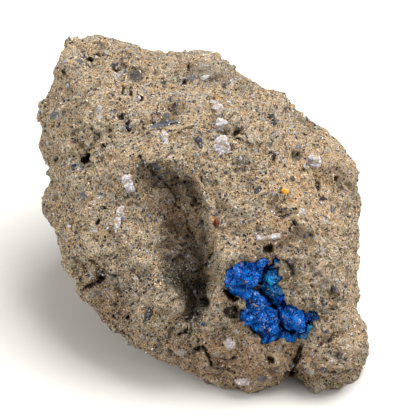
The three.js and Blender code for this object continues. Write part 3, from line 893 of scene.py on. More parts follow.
@dataclass
class TuffBody:
    """The lump of tuff, remeshed from its CAD node with its broken surface worked in.

    The relief is calm in some patches and wild in others. The far relief is only where the surface
    turns away from the show side, and scarps, fills, cracks and holes are only on the show side.
    """

    node: str = "matrix_stone"
    voxel: float = 0.355
    pocket_fill: float = 0.42
    pocket_sink: float = 0.42
    calm: float = 0.6
    wild: float = 1.15
    calm_patch: float = 4.6
    calm_contrast: float = 1.6
    # the depth at which a pit's painted shade is full, and the height at which a crest's painted highlight
    # is full
    pit_depth: float = 0.34
    crest_height: float = 0.4
    far_start: float = 0.2
    far_slope: float = 1.6
    seen_from: float = 0.05
    placed_from: float = 0.1
    swells: tuple[Swell, ...] = (
        Swell(3.1, 0.3), Swell(1.5, 0.28), Swell(0.75, 0.2), Swell(0.45, 0.15), Swell(0.32, 0.12),
    )
    blocks: tuple[Blocks, ...] = (Blocks(2.4, 0.3, 0.4), Blocks(1.1, 0.2, 0.25))
    far_relief: tuple[Blocks | Swell, ...] = (
        Blocks(5, 0.5, 0.5), Blocks(2.6, 0.35, 0.3), Swell(1.2, 0.25, True),
    )
    lumps: tuple[Lumps, ...] = (
        Lumps(2.3, 0.35, 0.75, 0.18, 0.3),
        Lumps(1.3, 0.4, 0.42, 0.12, 0.2),
        Lumps(1.7, 0.4, 0.4, -0.45),
        Lumps(0.95, 0.55, 0.26, -0.34),
        Lumps(0.55, 0.6, 0.2, -0.22),
    )
    scarps: tuple[Scarp, ...] = (
        Scarp(((-6.4, 23.8), (-5.4, 22.2), (-4, 21.9), (-2.2, 21.8), (-1, 21.2), (-0.2, 19.9),
               (0.6, 18.4)), 0.7, 2.6, 0.25),
        Scarp(((0.7, 15), (0.3, 13.2), (0.25, 11.5), (0.2, 9.5), (0.1, 8), (-0.8, 6.4)), 0.5, 2, 0.3),
        Scarp(((-2.2, 6), (-2.1, 7.6), (-1.9, 9), (-2.3, 10), (-3.7, 10.4), (-3.9, 12),
               (-4, 14.8)), 0.9, 2.2, 0.5),
        Scarp(((-13.6, 13.6), (-11.4, 13.2), (-10.2, 12.2), (-8.3, 11.6), (-7.6, 10), (-7.4, 8.2),
               (-6.7, 6.8), (-6.3, 5.2), (-5.5, 3.8)), 0.9, 4, 0.35),
        Scarp(((-1.2, 27.6), (-2.4, 27), (-3.6, 26.6), (-4.6, 26.2), (-5.5, 25.8), (-6, 24.6)), 0.6, 1.8),
        Scarp(((3.2, 28.6), (2.7, 30), (2, 31.2), (1.2, 32.6)), 0.7, 2, 0.8),
        Scarp(((6, 13.7), (6.8, 14.6), (7.9, 15), (8.6, 16), (9, 17)), 0.7, 1.6),
        Scarp(((10.2, 5), (9.8, 3.8), (9.3, 2.6), (9, 1.2)), 1, 2, 0.5),
        Scarp(((-9.8, 35.2), (-9.9, 34.2), (-10.4, 33), (-10.2, 31.8)), 0.6, 2.4, 0.5),
        Scarp(((-7.6, 34.4), (-7.8, 33.2), (-8.1, 32.4), (-7.9, 30.8)), 0.5, 1.8, 0.5),
        Scarp(((12.2, 22.6), (11, 22.2), (10.6, 20.8), (11.2, 19.4)), 0.5, 1.8, 0.5),
        Scarp(((11.8, 6.2), (12.8, 5.6), (13.6, 6.2), (14.6, 6.4)), 0.5, 1.6, 0.4),
        Scarp(((5, 2.6), (3.4, 2), (1.8, 2.1), (0.6, 2.6)), 0.5, 1.8),
    )
    fills: tuple[Hole, ...] = (
        Hole(-0.9, 17.8, 2.6, 4.2, 8, -1.7, 0.8), Hole(-0.9, 11.2, 1.5, 4, 0, -1, 0.8),
    )
    cracks: tuple[Crack, ...] = (
        Crack(((2.3, 10.8), (2.5, 10.2), (2.8, 9.7), (3.3, 9.5)), 0.5, 1.6),
        Crack(((-0.7, 5.9), (-0.4, 4.9)), 0.15, 0.3),
        Crack(((0.1, 4.5), (0.5, 3.9), (0.8, 2.7)), 0.26, 0.6),
        Crack(((-3.3, 6.9), (-3.2, 6.1), (-3.3, 5.3), (-4.1, 4.6), (-4.2, 4)), 0.15, 0.3),
        Crack(((-1.6, 6.6), (-1.7, 6), (-2.4, 5.6)), 0.26, 0.5),
        Crack(((-6.2, 23.4), (-5.9, 22.7), (-5.5, 22.2), (-4.8, 21.7), (-4.3, 21)), 0.2, 0.4),
        Crack(((-4.6, 21.4), (-3.6, 20.7), (-3.2, 19.9), (-2.7, 19.6), (-2.6, 18.7),
               (-2.1, 18.1)), 0.16, 0.35),
        Crack(((-1.6, 17.5), (-1.3, 16.6), (-1.2, 15.8), (-0.6, 14.9)), 0.16, 0.35),
        Crack(((-3.9, 14.5), (-3.2, 15), (-2.6, 15.5)), 0.15, 0.25),
        Crack(((-1.1, 20.2), (-0.7, 18.9), (0.3, 18.4)), 0.15, 0.3),
        Crack(((-0.8, 11.9), (-0.3, 12.2), (0.3, 12.6), (0.7, 13.8), (1, 14.4)), 0.18, 0.35),
        Crack(((-2.4, 13.6), (-1.9, 12.8), (-2, 12)), 0.15, 0.25),
        Crack(((-5.6, 25.6), (-4.5, 26.2), (-2.5, 26.7)), 0.2, 0.35),
        Crack(((-2.7, 25.5), (-1, 26.4)), 0.18, 0.25),
        Crack(((-7.9, 34.3), (-7.5, 33.7), (-8.1, 33.1), (-7.8, 32.3)), 0.25, 0.25),
        Crack(((2, 25.8), (2.9, 25.3), (3.6, 25.9), (4.2, 26.6)), 0.3, 0.2),
        Crack(((9.8, 4.5), (9.3, 3.2), (8.9, 2), (8.7, 1)), 0.4, 0.7),
        Crack(((2.2, 26.8), (2.9, 27.2), (3.6, 27)), 0.22, 0.25),
        Crack(((2.3, 25.7), (2.8, 25.2), (3.5, 24.9)), 0.22, 0.3),
        Crack(((4.1, 25.9), (4.6, 26.7)), 0.22, 0.25),
        Crack(((5.4, 25.9), (5.9, 25.3)), 0.18, 0.3),
        Crack(((8.8, 17.1), (9.1, 16.8), (8.5, 16.2), (8.4, 15.5)), 0.16, 0.3),
        Crack(((12.4, 2), (14.6, 2.1)), 0.16, 0.3),
        Crack(((1.4, 2.2), (3.2, 1.9)), 0.18, 0.3),
        Crack(((1, 3.7), (1.9, 3.1), (3.2, 3.3)), 0.16, 0.25),
        Crack(((-10.4, 12.2), (-9.8, 11.6), (-10.4, 10.9), (-11.6, 10.3)), 0.3, 0.5),
        Crack(((-11.2, 13.2), (-9.8, 12.1), (-8.2, 11.6)), 0.25, 0.3),
        Crack(((8.3, 13.1), (8.8, 12.4), (8.6, 11.6)), 0.28, 0.55),
        Crack(((13, 6), (12.4, 5)), 0.25, 0.3),
        Crack(((-0.2, 21.4), (0, 20.7)), 0.15, 0.4),
        Crack(((-8.5, 18.9), (-8.4, 18.2)), 0.13, 0.3),
    )
    holes: tuple[Hole, ...] = (
        Hole(-11.4, 33.1, 0.4, 0.55, 0, 1.0),
        Hole(-10.7, 33.8, 0.25, 0.2, 0, 0.5),
        Hole(-14, 31.9, 0.35, 0.25, -40, 0.5),
        Hole(-6.2, 29.2, 0.22, 0.45, 15, 0.6),
        Hole(-8, 30, 0.2, 0.5, 5, 0.4),
        Hole(-7.2, 29.8, 0.18, 0.5, 10, 0.4),
        Hole(-7.5, 26.5, 0.3, 0.75, 0, 0.6),
        Hole(-8.1, 27.4, 0.4, 0.3, 0, 0.4),
        Hole(-9.8, 24.4, 0.22, 0.36, 20, 0.5),
        Hole(-11.7, 23.1, 0.55, 0.34, 20, 0.8),
        Hole(-14.8, 23.2, 0.35, 0.25, 0, 0.7),
        Hole(-1.5, 32.5, 0.17, 0.6, 0, 0.5),
        Hole(-1.9, 30.8, 0.3, 0.25, 0, 0.5),
        Hole(9.3, 23.5, 0.75, 0.65, 0, 0.2, 0.35),
        Hole(9.4, 23.6, 0.25, 0.25, 0, 0.35),
        Hole(11.6, 20.6, 0.3, 0.5, 20, 0.5),
        Hole(7, 23.4, 0.3, 0.4, 0, 0.4),
        Hole(13.3, 21.2, 0.2, 0.4, 5, 0.5),
        Hole(4, 25.5, 0.3, 0.18, 0, 0.4),
        Hole(-10.5, 16.8, 0.25, 0.3, 0, 0.5),
        Hole(-9.8, 18.4, 0.25, 0.18, 0, 0.4),
        Hole(-13.1, 16.6, 0.15, 0.5, 15, 0.4),
        Hole(-7.4, 7.4, 0.22, 0.35, -25, 0.5),
        Hole(-8.8, 7.6, 0.2, 0.2, 0, 0.4),
        Hole(6.4, 14.3, 0.5, 0.45, 0, 1.1),
        Hole(2.75, 8.05, 0.95, 0.85, 0, 0.2, 0.4),
        Hole(3.2, 8.2, 0.2, 0.4, 0, 0.35),
        Hole(6.6, 3.3, 0.35, 0.4, -20, 0.6),
        Hole(9.8, 3.8, 0.3, 0.3, 0, 0.5),
        Hole(-0.6, 4.3, 0.5, 0.35, 10, 0.4),
        Hole(0.1, 9.1, 0.7, 0.6, 0, 0.45),
        Hole(5.3, 10.2, 1.1, 1.1, 0, 2.8),
    )
    floor: float = 0.35
    hug_reach: float = 1.1
    hug_share: float = 0.95
    hug_over: float = 0.06
    ray_start: float = 40
    skin: bmesh.types.BMesh = field(init=False)
    tree: BVHTree = field(init=False)

    def build(self, pockets: Sequence[str], nest: Sequence[BVHTree]) -> None:
        """Makes the skin with its relief.

        Args:
            pockets: The crystals whose pockets the tuff closes round.
            nest: The crystals of the nest, which the tuff's wall comes close to.
        """
        mesh = cad_copy(self.node)
        for pocket in pockets:
            self.plug(mesh, pocket)
        self.skin = remeshed(mesh, self.voxel)
        relax(self.skin, 2)
        self.refine()
        self.hug(nest)
        self.weather()
        self.tree = BVHTree.FromBMesh(self.skin)

    def ground(self, u: float, v: float) -> Vector:
        """The point of the surface that is seen at u and v on the show face."""
        place = self.tree.ray_cast(FACE.place(u, v, self.ray_start), -FACE.out)[0]
        return FACE.place(u, v) if place is None else place

    def plug(self, mesh: bmesh.types.BMesh, pocket: str) -> None:
        """Adds a shell that fills the clearance round a crystal, a little under its top."""
        shell = cad_copy(pocket)
        middle = sum((v.co for v in shell.verts), Vector()) / len(shell.verts)
        for vertex in shell.verts:
            away = vertex.co - middle
            vertex.co = middle + away + away.normalized() * self.pocket_fill - FACE.out * self.pocket_sink
        data = bpy.data.meshes.new("plug")
        shell.to_mesh(data)
        shell.free()
        mesh.from_mesh(data)
        bpy.data.meshes.remove(data)

    def refine(self) -> None:
        """Halves the edges on the show side, where the surface is seen closest."""
        self.skin.normal_update()
        seen = [e for e in self.skin.edges if e.verts[0].co.z > self.floor
                and all(v.normal.dot(FACE.out) > self.seen_from for v in e.verts)]
        bmesh.ops.subdivide_edges(self.skin, edges=seen, cuts=1, use_grid_fill=True)
        relax(self.skin, 1)

    def hug(self, nest: Sequence[BVHTree]) -> None:
        """Draws the nest's wall in towards its crystals, so that it closes on their edges."""
        for vertex in self.skin.verts:
            for tree in nest:
                place, _, _, gap = tree.find_nearest(vertex.co, self.hug_reach)
                if place is not None and gap > WELD:
                    share = (1 - gap / self.hug_reach) ** 0.5
                    vertex.co += (place - vertex.co) * (self.hug_share + self.hug_over / gap) * share

    def weather(self) -> None:
        """Moves each point of the skin by the relief at its place, and notes its pits and crests."""
        self.skin.normal_update()
        # two layers for painted light: how deep each point lies in a pore, crack or hole (painted shade)
        # and how high it stands (painted highlight)
        painted_pit_shade = self.skin.verts.layers.float.new("painted_pit_shade")
        painted_crest_light = self.skin.verts.layers.float.new("painted_crest_light")
        moves = []
        for vertex, (cut, drop) in zip(self.skin.verts, self.placed_relief()):
            point = vertex.co
            bumps = [feature.at(point) for feature in (*self.lumps, *self.blocks)]
            rough = smooth_step(0.5 + self.calm_contrast * noise.noise(point / self.calm_patch))
            share = self.calm + (self.wild - self.calm) * rough
            height = share * (sum(swell.at(point) for swell in self.swells) + sum(bumps))
            pit_shade = -share * sum(b for b in bumps[:len(self.lumps)] if b < 0) - cut
            vertex[painted_pit_shade] = min(max(pit_shade / self.pit_depth, 0), 1)
            vertex[painted_crest_light] = min(max(height / self.crest_height, 0), 1)
            far = smooth_step(self.far_start - self.far_slope * vertex.normal.dot(FACE.out))
            height += far * sum(feature.at(point) for feature in self.far_relief)
            move = vertex.normal * height + FACE.out * (cut + drop)
            moves.append(move * smooth_step(point.z / self.floor))
        for vertex, move in zip(self.skin.verts, moves):
            vertex.co += move
            vertex.co.z = max(vertex.co.z, 0)

    def placed_relief(self) -> list[tuple[float, float]]:
        """The show face's heights at each point: of its cracks and holes, and of its scarps."""
        seen = [vertex.normal.dot(FACE.out) > self.placed_from for vertex in self.skin.verts]
        spots = wandered(FACE.read(np.array([vertex.co for vertex in self.skin.verts])))
        cuts = np.min([feature.at(spots) for feature in (*self.cracks, *self.holes)], axis=0)
        drops = np.min([scarp.at(spots) for scarp in self.scarps], axis=0)
        drops += np.sum([fill.at(spots) for fill in self.fills], axis=0)
        return list(zip((cuts * seen).tolist(), (drops * seen).tolist()))

    def dress(self, material: bpy.types.Material) -> None:
        """Makes the skin the tuff piece."""
        finished(self.skin, "tuff_matrix", material, [self.node])


# ------------------------------------------------------------------------------ crystals


@dataclass
class HauyneNest:
    """The blue crystals of the nest, drawn in a little, with dark clefts between them."""

    nodes: Sequence[str]
    middle: tuple[float, float] = (6.8, 9.4)
    narrowing: float = 0.94
    lowering: float = 0.975
    voxel: float = 0.065
    smoothing: int = 5
    growth: float = 0.02
    reach: float = 1.2
    cleft: float = 0.24
    cleft_depth: float = 0.8
    cleft_overlap: float = 0.05
    crease_shade: float = 0.35
    shade_reach: float = 0.5
    top_foot: float = 2.4
    top_slope: float = 0.31
    level_rounds: int = 40
    top_from: float = 0.1
    swells: tuple[Swell, ...] = (
        Swell(1.3, 0.12), Swell(0.6, 0.07), Swell(0.3, 0.05, True), Swell(0.16, 0.03),
    )
    facets: Blocks = Blocks(0.8, 0.3, 0.12)
    great_cleft: Crack = Crack(((6.9, 13.5), (6.4, 12.6), (5.9, 11.5), (5.4, 10.4), (5.8, 9.9), (6.4, 9.4),
                                (7, 8.8), (7.4, 8.3), (7.45, 7.6), (7.7, 6.9), (8.4, 6.2), (9.3, 5.9),
                                (10, 6.1), (10.5, 7)), 0.34, 0.8)
    creases: tuple[Crack, ...] = (
        Crack(((2.4, 11.1), (3.2, 10.7), (3.9, 10.5), (4.8, 10.5)), 0.22, 0.16),
        Crack(((2.9, 12.6), (3.0, 11.9), (2.9, 11.2)), 0.2, 0.2),
        Crack(((4.9, 13.0), (5.2, 12.4), (5.7, 11.8)), 0.2, 0.2),
        Crack(((4.2, 9.1), (5.3, 9.0), (6.0, 8.9), (6.6, 8.6)), 0.2, 0.14),
        Crack(((4.4, 6.6), (5.3, 6.8), (6.2, 7.0), (7.1, 7.4)), 0.22, 0.16),
        Crack(((5.5, 5.9), (6.3, 6.3), (6.6, 5.6), (6.4, 5.1)), 0.2, 0.2),
        Crack(((6.0, 10.9), (6.8, 10.6), (7.5, 10.9)), 0.2, 0.22),
        Crack(((6.6, 12.3), (7.2, 12.3), (7.6, 12.4)), 0.25, 0.3),
        Crack(((7.2, 9.7), (7.6, 9.6), (8.0, 9.7)), 0.2, 0.25),
    )
    trees: dict[str, BVHTree] = field(init=False)

    def __post_init__(self) -> None:
        """Makes a search tree for each crystal's shell."""
        self.trees = {node: BVHTree.FromBMesh(self.shell(node)) for node in self.nodes}

    def shell(self, node: str) -> bmesh.types.BMesh:
        """A crystal's CAD shell, drawn in towards the nest's middle."""
        mesh = cad_copy(node)
        for vertex in mesh.verts:
            u = vertex.co.x
            v = (vertex.co - FACE.place(0, 0)).dot(FACE.up)
            vertex.co.x += (self.middle[0] - u) * (1 - self.narrowing)
            vertex.co += FACE.up * (self.middle[1] - v) * (1 - self.lowering)
        return mesh

    def build(self, finishes: dict[str, HauyneFinish]) -> None:
        """Makes each crystal of the nest.

        Args:
            finishes: Each crystal's node and its finish.
        """
        for node, finish in finishes.items():
            skin = remeshed(self.shell(node), self.voxel)
            relax(skin, self.smoothing)
            self.level(skin)
            others = [tree for other, tree in self.trees.items() if other != node]
            self.etch(skin, others)
            finished(skin, node.replace("crystal", "blue"), finish.material(), [node])

    def level(self, skin: bmesh.types.BMesh) -> None:
        """Evens out the heights of a crystal's top, so that its knobs become one broken face."""
        skin.normal_update()
        skin.verts.index_update()
        ends = np.array([[v.index for v in edge.verts] for edge in skin.edges]).T
        rows = FACE.read(np.array([v.co for v in skin.verts]))
        top = np.array([v.normal.dot(FACE.out) > self.top_from for v in skin.verts])
        heights = rows[:, 2].copy()
        count = np.bincount(ends.ravel(), minlength=len(heights))
        for _ in range(self.level_rounds):
            around = (np.bincount(ends[0], heights[ends[1]], len(heights))
                      + np.bincount(ends[1], heights[ends[0]], len(heights))) / count
            heights[top] = around[top]
        for vertex, change in zip(skin.verts, (heights - rows[:, 2]).tolist()):
            vertex.co += FACE.out * change

    def room(self, depth: float, gap: float) -> float:
        """How far a point may grow before the cleft to its nearest neighbour is too narrow."""
        wanted = self.cleft * (1 - smooth_step(depth / self.cleft_depth))
        towards = max(self.growth, smooth_step(2 - gap / self.cleft))
        return min(towards, (gap - wanted) / 2 + self.cleft_overlap)

    def etch(self, skin: bmesh.types.BMesh, others: Sequence[BVHTree]) -> None:
        """Grows a crystal towards the tuff and towards its neighbours, and roughens it."""
        skin.normal_update()
        cleft = skin.verts.layers.float.new("cleft")
        spots = FACE.read(np.array([vertex.co for vertex in skin.verts]))
        spots_bent = wandered(spots)
        creases = np.min([line.at(spots_bent) for line in (*self.creases, self.great_cleft)], axis=0)
        moves = []
        for vertex, spot, crease in zip(skin.verts, spots.tolist(), creases.tolist()):
            point = vertex.co
            gap = min((hit[3] for tree in others if (hit := tree.find_nearest(point, self.reach))[3]
                       is not None), default=self.reach)
            depth = self.top_foot + self.top_slope * spot[1] - spot[2]
            height = self.room(depth, gap)
            height += sum(swell.at(point) for swell in self.swells)
            height += self.facets.at(point)
            # the cleft layer is painted shade for the finish: near a neighbour and in a crease the crystal
            # is darkened
            vertex[cleft] = max(1 - gap / self.shade_reach, -crease / self.crease_shade, 0)
            moves.append(vertex.normal * height + FACE.out * crease)
        for vertex, move in zip(skin.verts, moves):
            vertex.co += move


@dataclass
class SingleCrystals:
    """The larger crystals that stand alone in the tuff."""

    ground: Callable[[float, float], Vector]
    voxel: float = 0.07
    showing: float = 0.18
    ragged: tuple[Swell, ...] = (Swell(1.2, 0.25), Swell(0.4, 0.12), Swell(0.2, 0.08))
    crisp: tuple[Swell, ...] = (Swell(0.6, 0.12), Swell(0.3, 0.08), Swell(0.15, 0.04))

    def build(self, node: str, slot: str, material: bpy.types.Material, growth: float) -> None:
        """Makes one crystal.

        Args:
            node: Its CAD node.
            slot: The record's slot: sanidine is ragged, and the others are crisp.
            material: Its finish.
            growth: How far it grows into its pocket's clearance.
        """
        skin = remeshed(cad_copy(node), self.voxel)
        relax(skin, 1)
        skin.normal_update()
        swells = self.ragged if slot == "sanidine" else self.crisp
        moves = [vertex.normal * (growth + sum(swell.at(vertex.co) for swell in swells))
                 for vertex in skin.verts]
        for vertex, move in zip(skin.verts, moves):
            vertex.co += move
        self.lift(skin)
        finished(skin, f"{node}_skin", material, [node])

    def lift(self, skin: bmesh.types.BMesh) -> None:
        """Lifts a crystal that the tuff would bury until its top shows."""
        rows = FACE.read(np.array([vertex.co for vertex in skin.verts]))
        middle = (rows.min(axis=0) + rows.max(axis=0)) / 2
        ground = FACE.read(np.array([self.ground(*middle[:2])]))[0, 2]
        rise = max(ground + self.showing - rows[:, 2].max(), 0)
        bmesh.ops.translate(skin, vec=FACE.out * rise, verts=skin.verts)


# ------------------------------------------------------------------------------ fine grains


class Habit(Enum):
    """The shape of a small grain."""

    CRUMB = "crumb"
    CHIP = "chip"


@dataclass(frozen=True)
class GrainKind:
    """One kind of small grain that is strewn over the tuff, in millimetres.

    A kind without a finish of its own has the tuff's, and a shy kind stays out of the hollow.
    """

    name: str
    slot: str
    habit: Habit
    count: int
    sizes: tuple[float, float]
    slimness: float
    sunk: float
    finish: GrainFinish | None
    seed: int
    shy: bool = False


@dataclass
class GrainStrewer:
    """Seats small grains in the tuff's surface, each kind as one joined mesh.

    The show side has show_share times as many, and the shy kinds stay out of the hollow.
    """

    skin: bmesh.types.BMesh
    kept_clear: Sequence[BVHTree]
    clearance: float = 0.3
    show_share: float = 3.0
    floor: float = 0.4
    small_bias: float = 2.2
    unevenness: float = 0.25
    unevenness_limit: float = 1.5
    height_share: float = 0.8
    hollow: tuple[Hole, ...] = (Hole(-1.6, 16.8, 3.4, 5.6, 5, -1, 0.1), Hole(-1.4, 9.6, 2, 4, 5, -1, 0.1))
    corners: np.ndarray = field(init=False)
    normals: np.ndarray = field(init=False)
    chances: np.ndarray = field(init=False)
    sheltered: np.ndarray = field(init=False)

    def __post_init__(self) -> None:
        """Reads the surface's triangles and how likely each one is to carry a grain."""
        self.skin.normal_update()
        self.corners = np.array([[loop.vert.co for loop in face]
                                 for face in self.skin.calc_loop_triangles()])
        cross = np.cross(self.corners[:, 1] - self.corners[:, 0],
                         self.corners[:, 2] - self.corners[:, 0])
        area = np.linalg.norm(cross, axis=1)
        self.normals = cross / np.maximum(area, NO_AREA)[:, None]
        seen = 1 + (self.show_share - 1) * (self.normals @ np.array(FACE.out) > 0)
        weight = area * seen * (self.corners[:, :, 2].min(axis=1) > self.floor) * self.open_ground()
        self.chances = weight / weight.sum()
        spots = FACE.read(self.corners[:, 0])[:, :2]
        self.sheltered = np.max([hole.at(spots) for hole in self.hollow], axis=0)

    def open_ground(self) -> np.ndarray:
        """Whether each triangle is clear of the crystals that no grain may cover."""
        return np.array([not any(tree.find_nearest(Vector(corner), self.clearance)[0]
                                 for tree in self.kept_clear) for corner in self.corners[:, 0]])

    def shape(self, kind: GrainKind) -> tuple[np.ndarray, np.ndarray]:
        """One grain of a kind, about a millimetre across, standing on +Z.

        Args:
            kind: The kind of grain.

        Returns:
            Its points, and its triangles as indices of them, in the same order each run.
        """
        grain = bmesh.new()
        if kind.habit is Habit.CRUMB:
            bmesh.ops.create_icosphere(grain, subdivisions=1, radius=0.5)
        else:
            bmesh.ops.create_cube(grain, size=0.8)
            bmesh.ops.bevel(grain, geom=grain.verts, offset=0.2, affect="VERTICES", segments=1,
                            profile=0.5, material=-1)
        bmesh.ops.triangulate(grain, faces=grain.faces)
        grain.verts.index_update()
        points = np.array([v.co for v in grain.verts])
        faces = np.array([np.roll(row, -np.argmin(row))
                          for row in ([v.index for v in f.verts] for f in grain.faces)])
        grain.free()
        return points, faces[np.lexsort(faces.T)]

    def strew(self, kind: GrainKind, material: bpy.types.Material) -> None:
        """Makes all the grains of a kind as one piece.

        Args:
            kind: The kind of grain.
            material: Its finish.
        """
        draw = np.random.default_rng(kind.seed)
        points, faces = self.shape(kind)
        count = kind.count
        chances = self.chances * (1 - self.sheltered) if kind.shy else self.chances
        picks = draw.choice(len(chances), count, p=chances / chances.sum())
        share = draw.random((count, 2))
        share[share.sum(axis=1) > 1] = 1 - share[share.sum(axis=1) > 1]
        corner = self.corners[picks]
        seats = (corner[:, 0] + share[:, :1] * (corner[:, 1] - corner[:, 0])
                 + share[:, 1:] * (corner[:, 2] - corner[:, 0]))
        out = self.normals[picks]
        along = np.cross(out, draw.normal(size=(count, 3)))
        along /= np.linalg.norm(along, axis=1)[:, None]
        aside = np.cross(out, along)
        size = kind.sizes[0] + (kind.sizes[1] - kind.sizes[0]) * draw.random(count) ** self.small_bias
        length = size * (1 + (kind.slimness - 1) * draw.random(count))
        limit = self.unevenness_limit
        uneven = draw.normal(size=(count, len(points), 1)).clip(-limit, limit)
        local = points[None] * (1 + self.unevenness * uneven)
        placed = (seats - out * (size * kind.sunk)[:, None])[:, None]
        axes = ((along, length), (aside, size), (out, size * self.height_share))
        for axis, (way, scale) in enumerate(axes):
            placed = placed + local[:, :, axis:axis + 1] * (way * scale[:, None])[:, None]
        placed[:, :, 2] = placed[:, :, 2].clip(0)
        joined = faces[None] + np.arange(count)[:, None, None] * len(points)
        self.joined(kind, placed.reshape(-1, 3), joined.reshape(-1, 3), material)

    def joined(self, kind: GrainKind, points: np.ndarray, faces: np.ndarray,
               material: bpy.types.Material) -> None:
        """Makes one piece of all the placed grains' points and triangles."""
        data = bpy.data.meshes.new(kind.name)
        data.vertices.add(len(points))
        data.vertices.foreach_set("co", (points * MM).ravel())
        data.loops.add(faces.size)
        data.loops.foreach_set("vertex_index", faces.ravel())
        data.polygons.add(len(faces))
        data.polygons.foreach_set("loop_start", np.arange(len(faces)) * 3)
        data.update(calc_edges=True)
        data.shade_flat()
        placed_piece(data, kind.name, material, ())


# ------------------------------------------------------------------------------ studio


@dataclass(frozen=True)
class Panel:
    """A soft light panel: its u, v and w in millimetres, and its power in watts."""

    name: str
    place: tuple[float, float, float]
    power: float


@dataclass(frozen=True)
class Studio:
    """The pale floor, the soft light and the camera.

    The aim, the camera's distance and its lens are in millimetres, and the other sizes in metres.
    """

    aim_u: float = 0.5
    aim_v: float = 18.3
    distance: float = 346.7
    lens: float = 300
    sensor: float = 36
    nearest: float = 0.01
    farthest: float = 20
    floor_size: float = 3.0
    floor_colour: Colour = srgb(196, 194, 190)
    floor_roughness: float = 0.7
    dome_colour: Colour = (1, 0.99, 0.97, 1)
    dome_strength: float = 0.34
    panel_size: float = 0.25
    panels: tuple[Panel, ...] = (
        Panel("key", (100, 275, 105), 2.1),
        Panel("left", (-295, 60, 60), 1.3),
        Panel("right", (225, 50, 190), 0.5),
    )

    def build(self) -> None:
        """Builds all of it."""
        self.floor()
        self.light()
        self.camera()
        bpy.context.scene.view_settings.view_transform = "Standard"

    def floor(self) -> None:
        """Lays the floor."""
        mesh = bmesh.new()
        bmesh.ops.create_grid(mesh, x_segments=1, y_segments=1, size=self.floor_size / 2)
        data = bpy.data.meshes.new("floor")
        mesh.to_mesh(data)
        mesh.free()
        paint = Painter("floor")
        data.materials.append(paint.finish(self.floor_colour, self.floor_roughness))
        floor = bpy.data.objects.new("floor", data)
        bpy.context.scene.collection.objects.link(floor)

    def light(self) -> None:
        """Sets the soft light: an even dome and three panels round the camera."""
        world = bpy.data.worlds.new("studio")
        world.use_nodes = True
        background = world.node_tree.nodes["Background"]
        background.inputs["Color"].default_value = self.dome_colour
        background.inputs["Strength"].default_value = self.dome_strength
        bpy.context.scene.world = world
        for panel in self.panels:
            self.hang(panel)

    def hang(self, panel: Panel) -> None:
        """Hangs one light panel that faces the specimen."""
        data = bpy.data.lights.new(panel.name, "AREA")
        data.size = self.panel_size
        data.energy = panel.power
        lamp = bpy.data.objects.new(panel.name, data)
        lamp.location = FACE.place(*panel.place) * MM
        aim = FACE.place(self.aim_u, self.aim_v) * MM - lamp.location
        lamp.rotation_euler = aim.to_track_quat("-Z", "Y").to_euler()
        bpy.context.scene.collection.objects.link(lamp)

    def camera(self) -> None:
        """Sets the camera square to the show face."""
        data = bpy.data.cameras.new("camera")
        data.lens = self.lens
        data.sensor_width = self.sensor
        data.clip_start = self.nearest
        data.clip_end = self.farthest
        camera = bpy.data.objects.new("camera", data)
        turn = Matrix((Vector((1, 0, 0)), FACE.up, FACE.out)).transposed().to_4x4()
        place = FACE.place(self.aim_u, self.aim_v, self.distance) * MM
        camera.matrix_world = Matrix.Translation(place) @ turn
        bpy.context.scene.collection.objects.link(camera)
        bpy.context.scene.camera = camera


# ------------------------------------------------------------------------------ the specimen

SANIDINE = GrainFinish("sanidine", srgb(118, 118, 126), srgb(206, 204, 210), 0.6, 0.2,
                       srgb(158, 136, 110), 0.4)
AUGITE = GrainFinish("augite", srgb(20, 20, 24), srgb(74, 76, 84), 0.5, 0.2, crust_share=0.2)
WHITE = GrainFinish("white_chips", srgb(140, 142, 152), srgb(222, 222, 230), 0.7, 0.2, crust_share=0.3)
TITANITE = GrainFinish("titanite", srgb(168, 110, 20), srgb(216, 168, 50), 0.4)
LITHIC = GrainFinish("lithic", srgb(84, 88, 94), srgb(150, 152, 156), 0.8)
PALE_ASH = GrainFinish("pale_ash", srgb(190, 164, 130), srgb(244, 228, 204), 0.9, 0.5)

STREWN = (
    GrainKind("black_specks", "augite", Habit.CHIP, 2600, (0.09, 0.34), 2.2, 0.25, AUGITE, 11),
    GrainKind("white_specks", "sanidine", Habit.CHIP, 1200, (0.1, 0.4), 1.6, 0.4, WHITE, 23, True),
    GrainKind("lithic_crumbs", "tuff", Habit.CRUMB, 2000, (0.15, 0.5), 1.5, 0.3, LITHIC, 53),
    GrainKind("ash_crumbs_fine", "tuff", Habit.CRUMB, 5500, (0.1, 0.3), 1.5, 0.3, None, 37),
    GrainKind("ash_crumbs_coarse", "tuff", Habit.CRUMB, 1600, (0.2, 0.6), 1.4, 0.4, None, 41),
    GrainKind("ash_crumbs_pale", "tuff", Habit.CRUMB, 2400, (0.08, 0.22), 1.6, 0.2, PALE_ASH, 61, True),
)

DULL_HAUYNE = HauyneFinish("hauyne_grain", srgb(10, 20, 36), srgb(38, 60, 84), srgb(66, 94, 122),
                           streak=srgb(120, 136, 156), glow=srgb(72, 102, 134), cleft_shade=srgb(8, 14, 26))

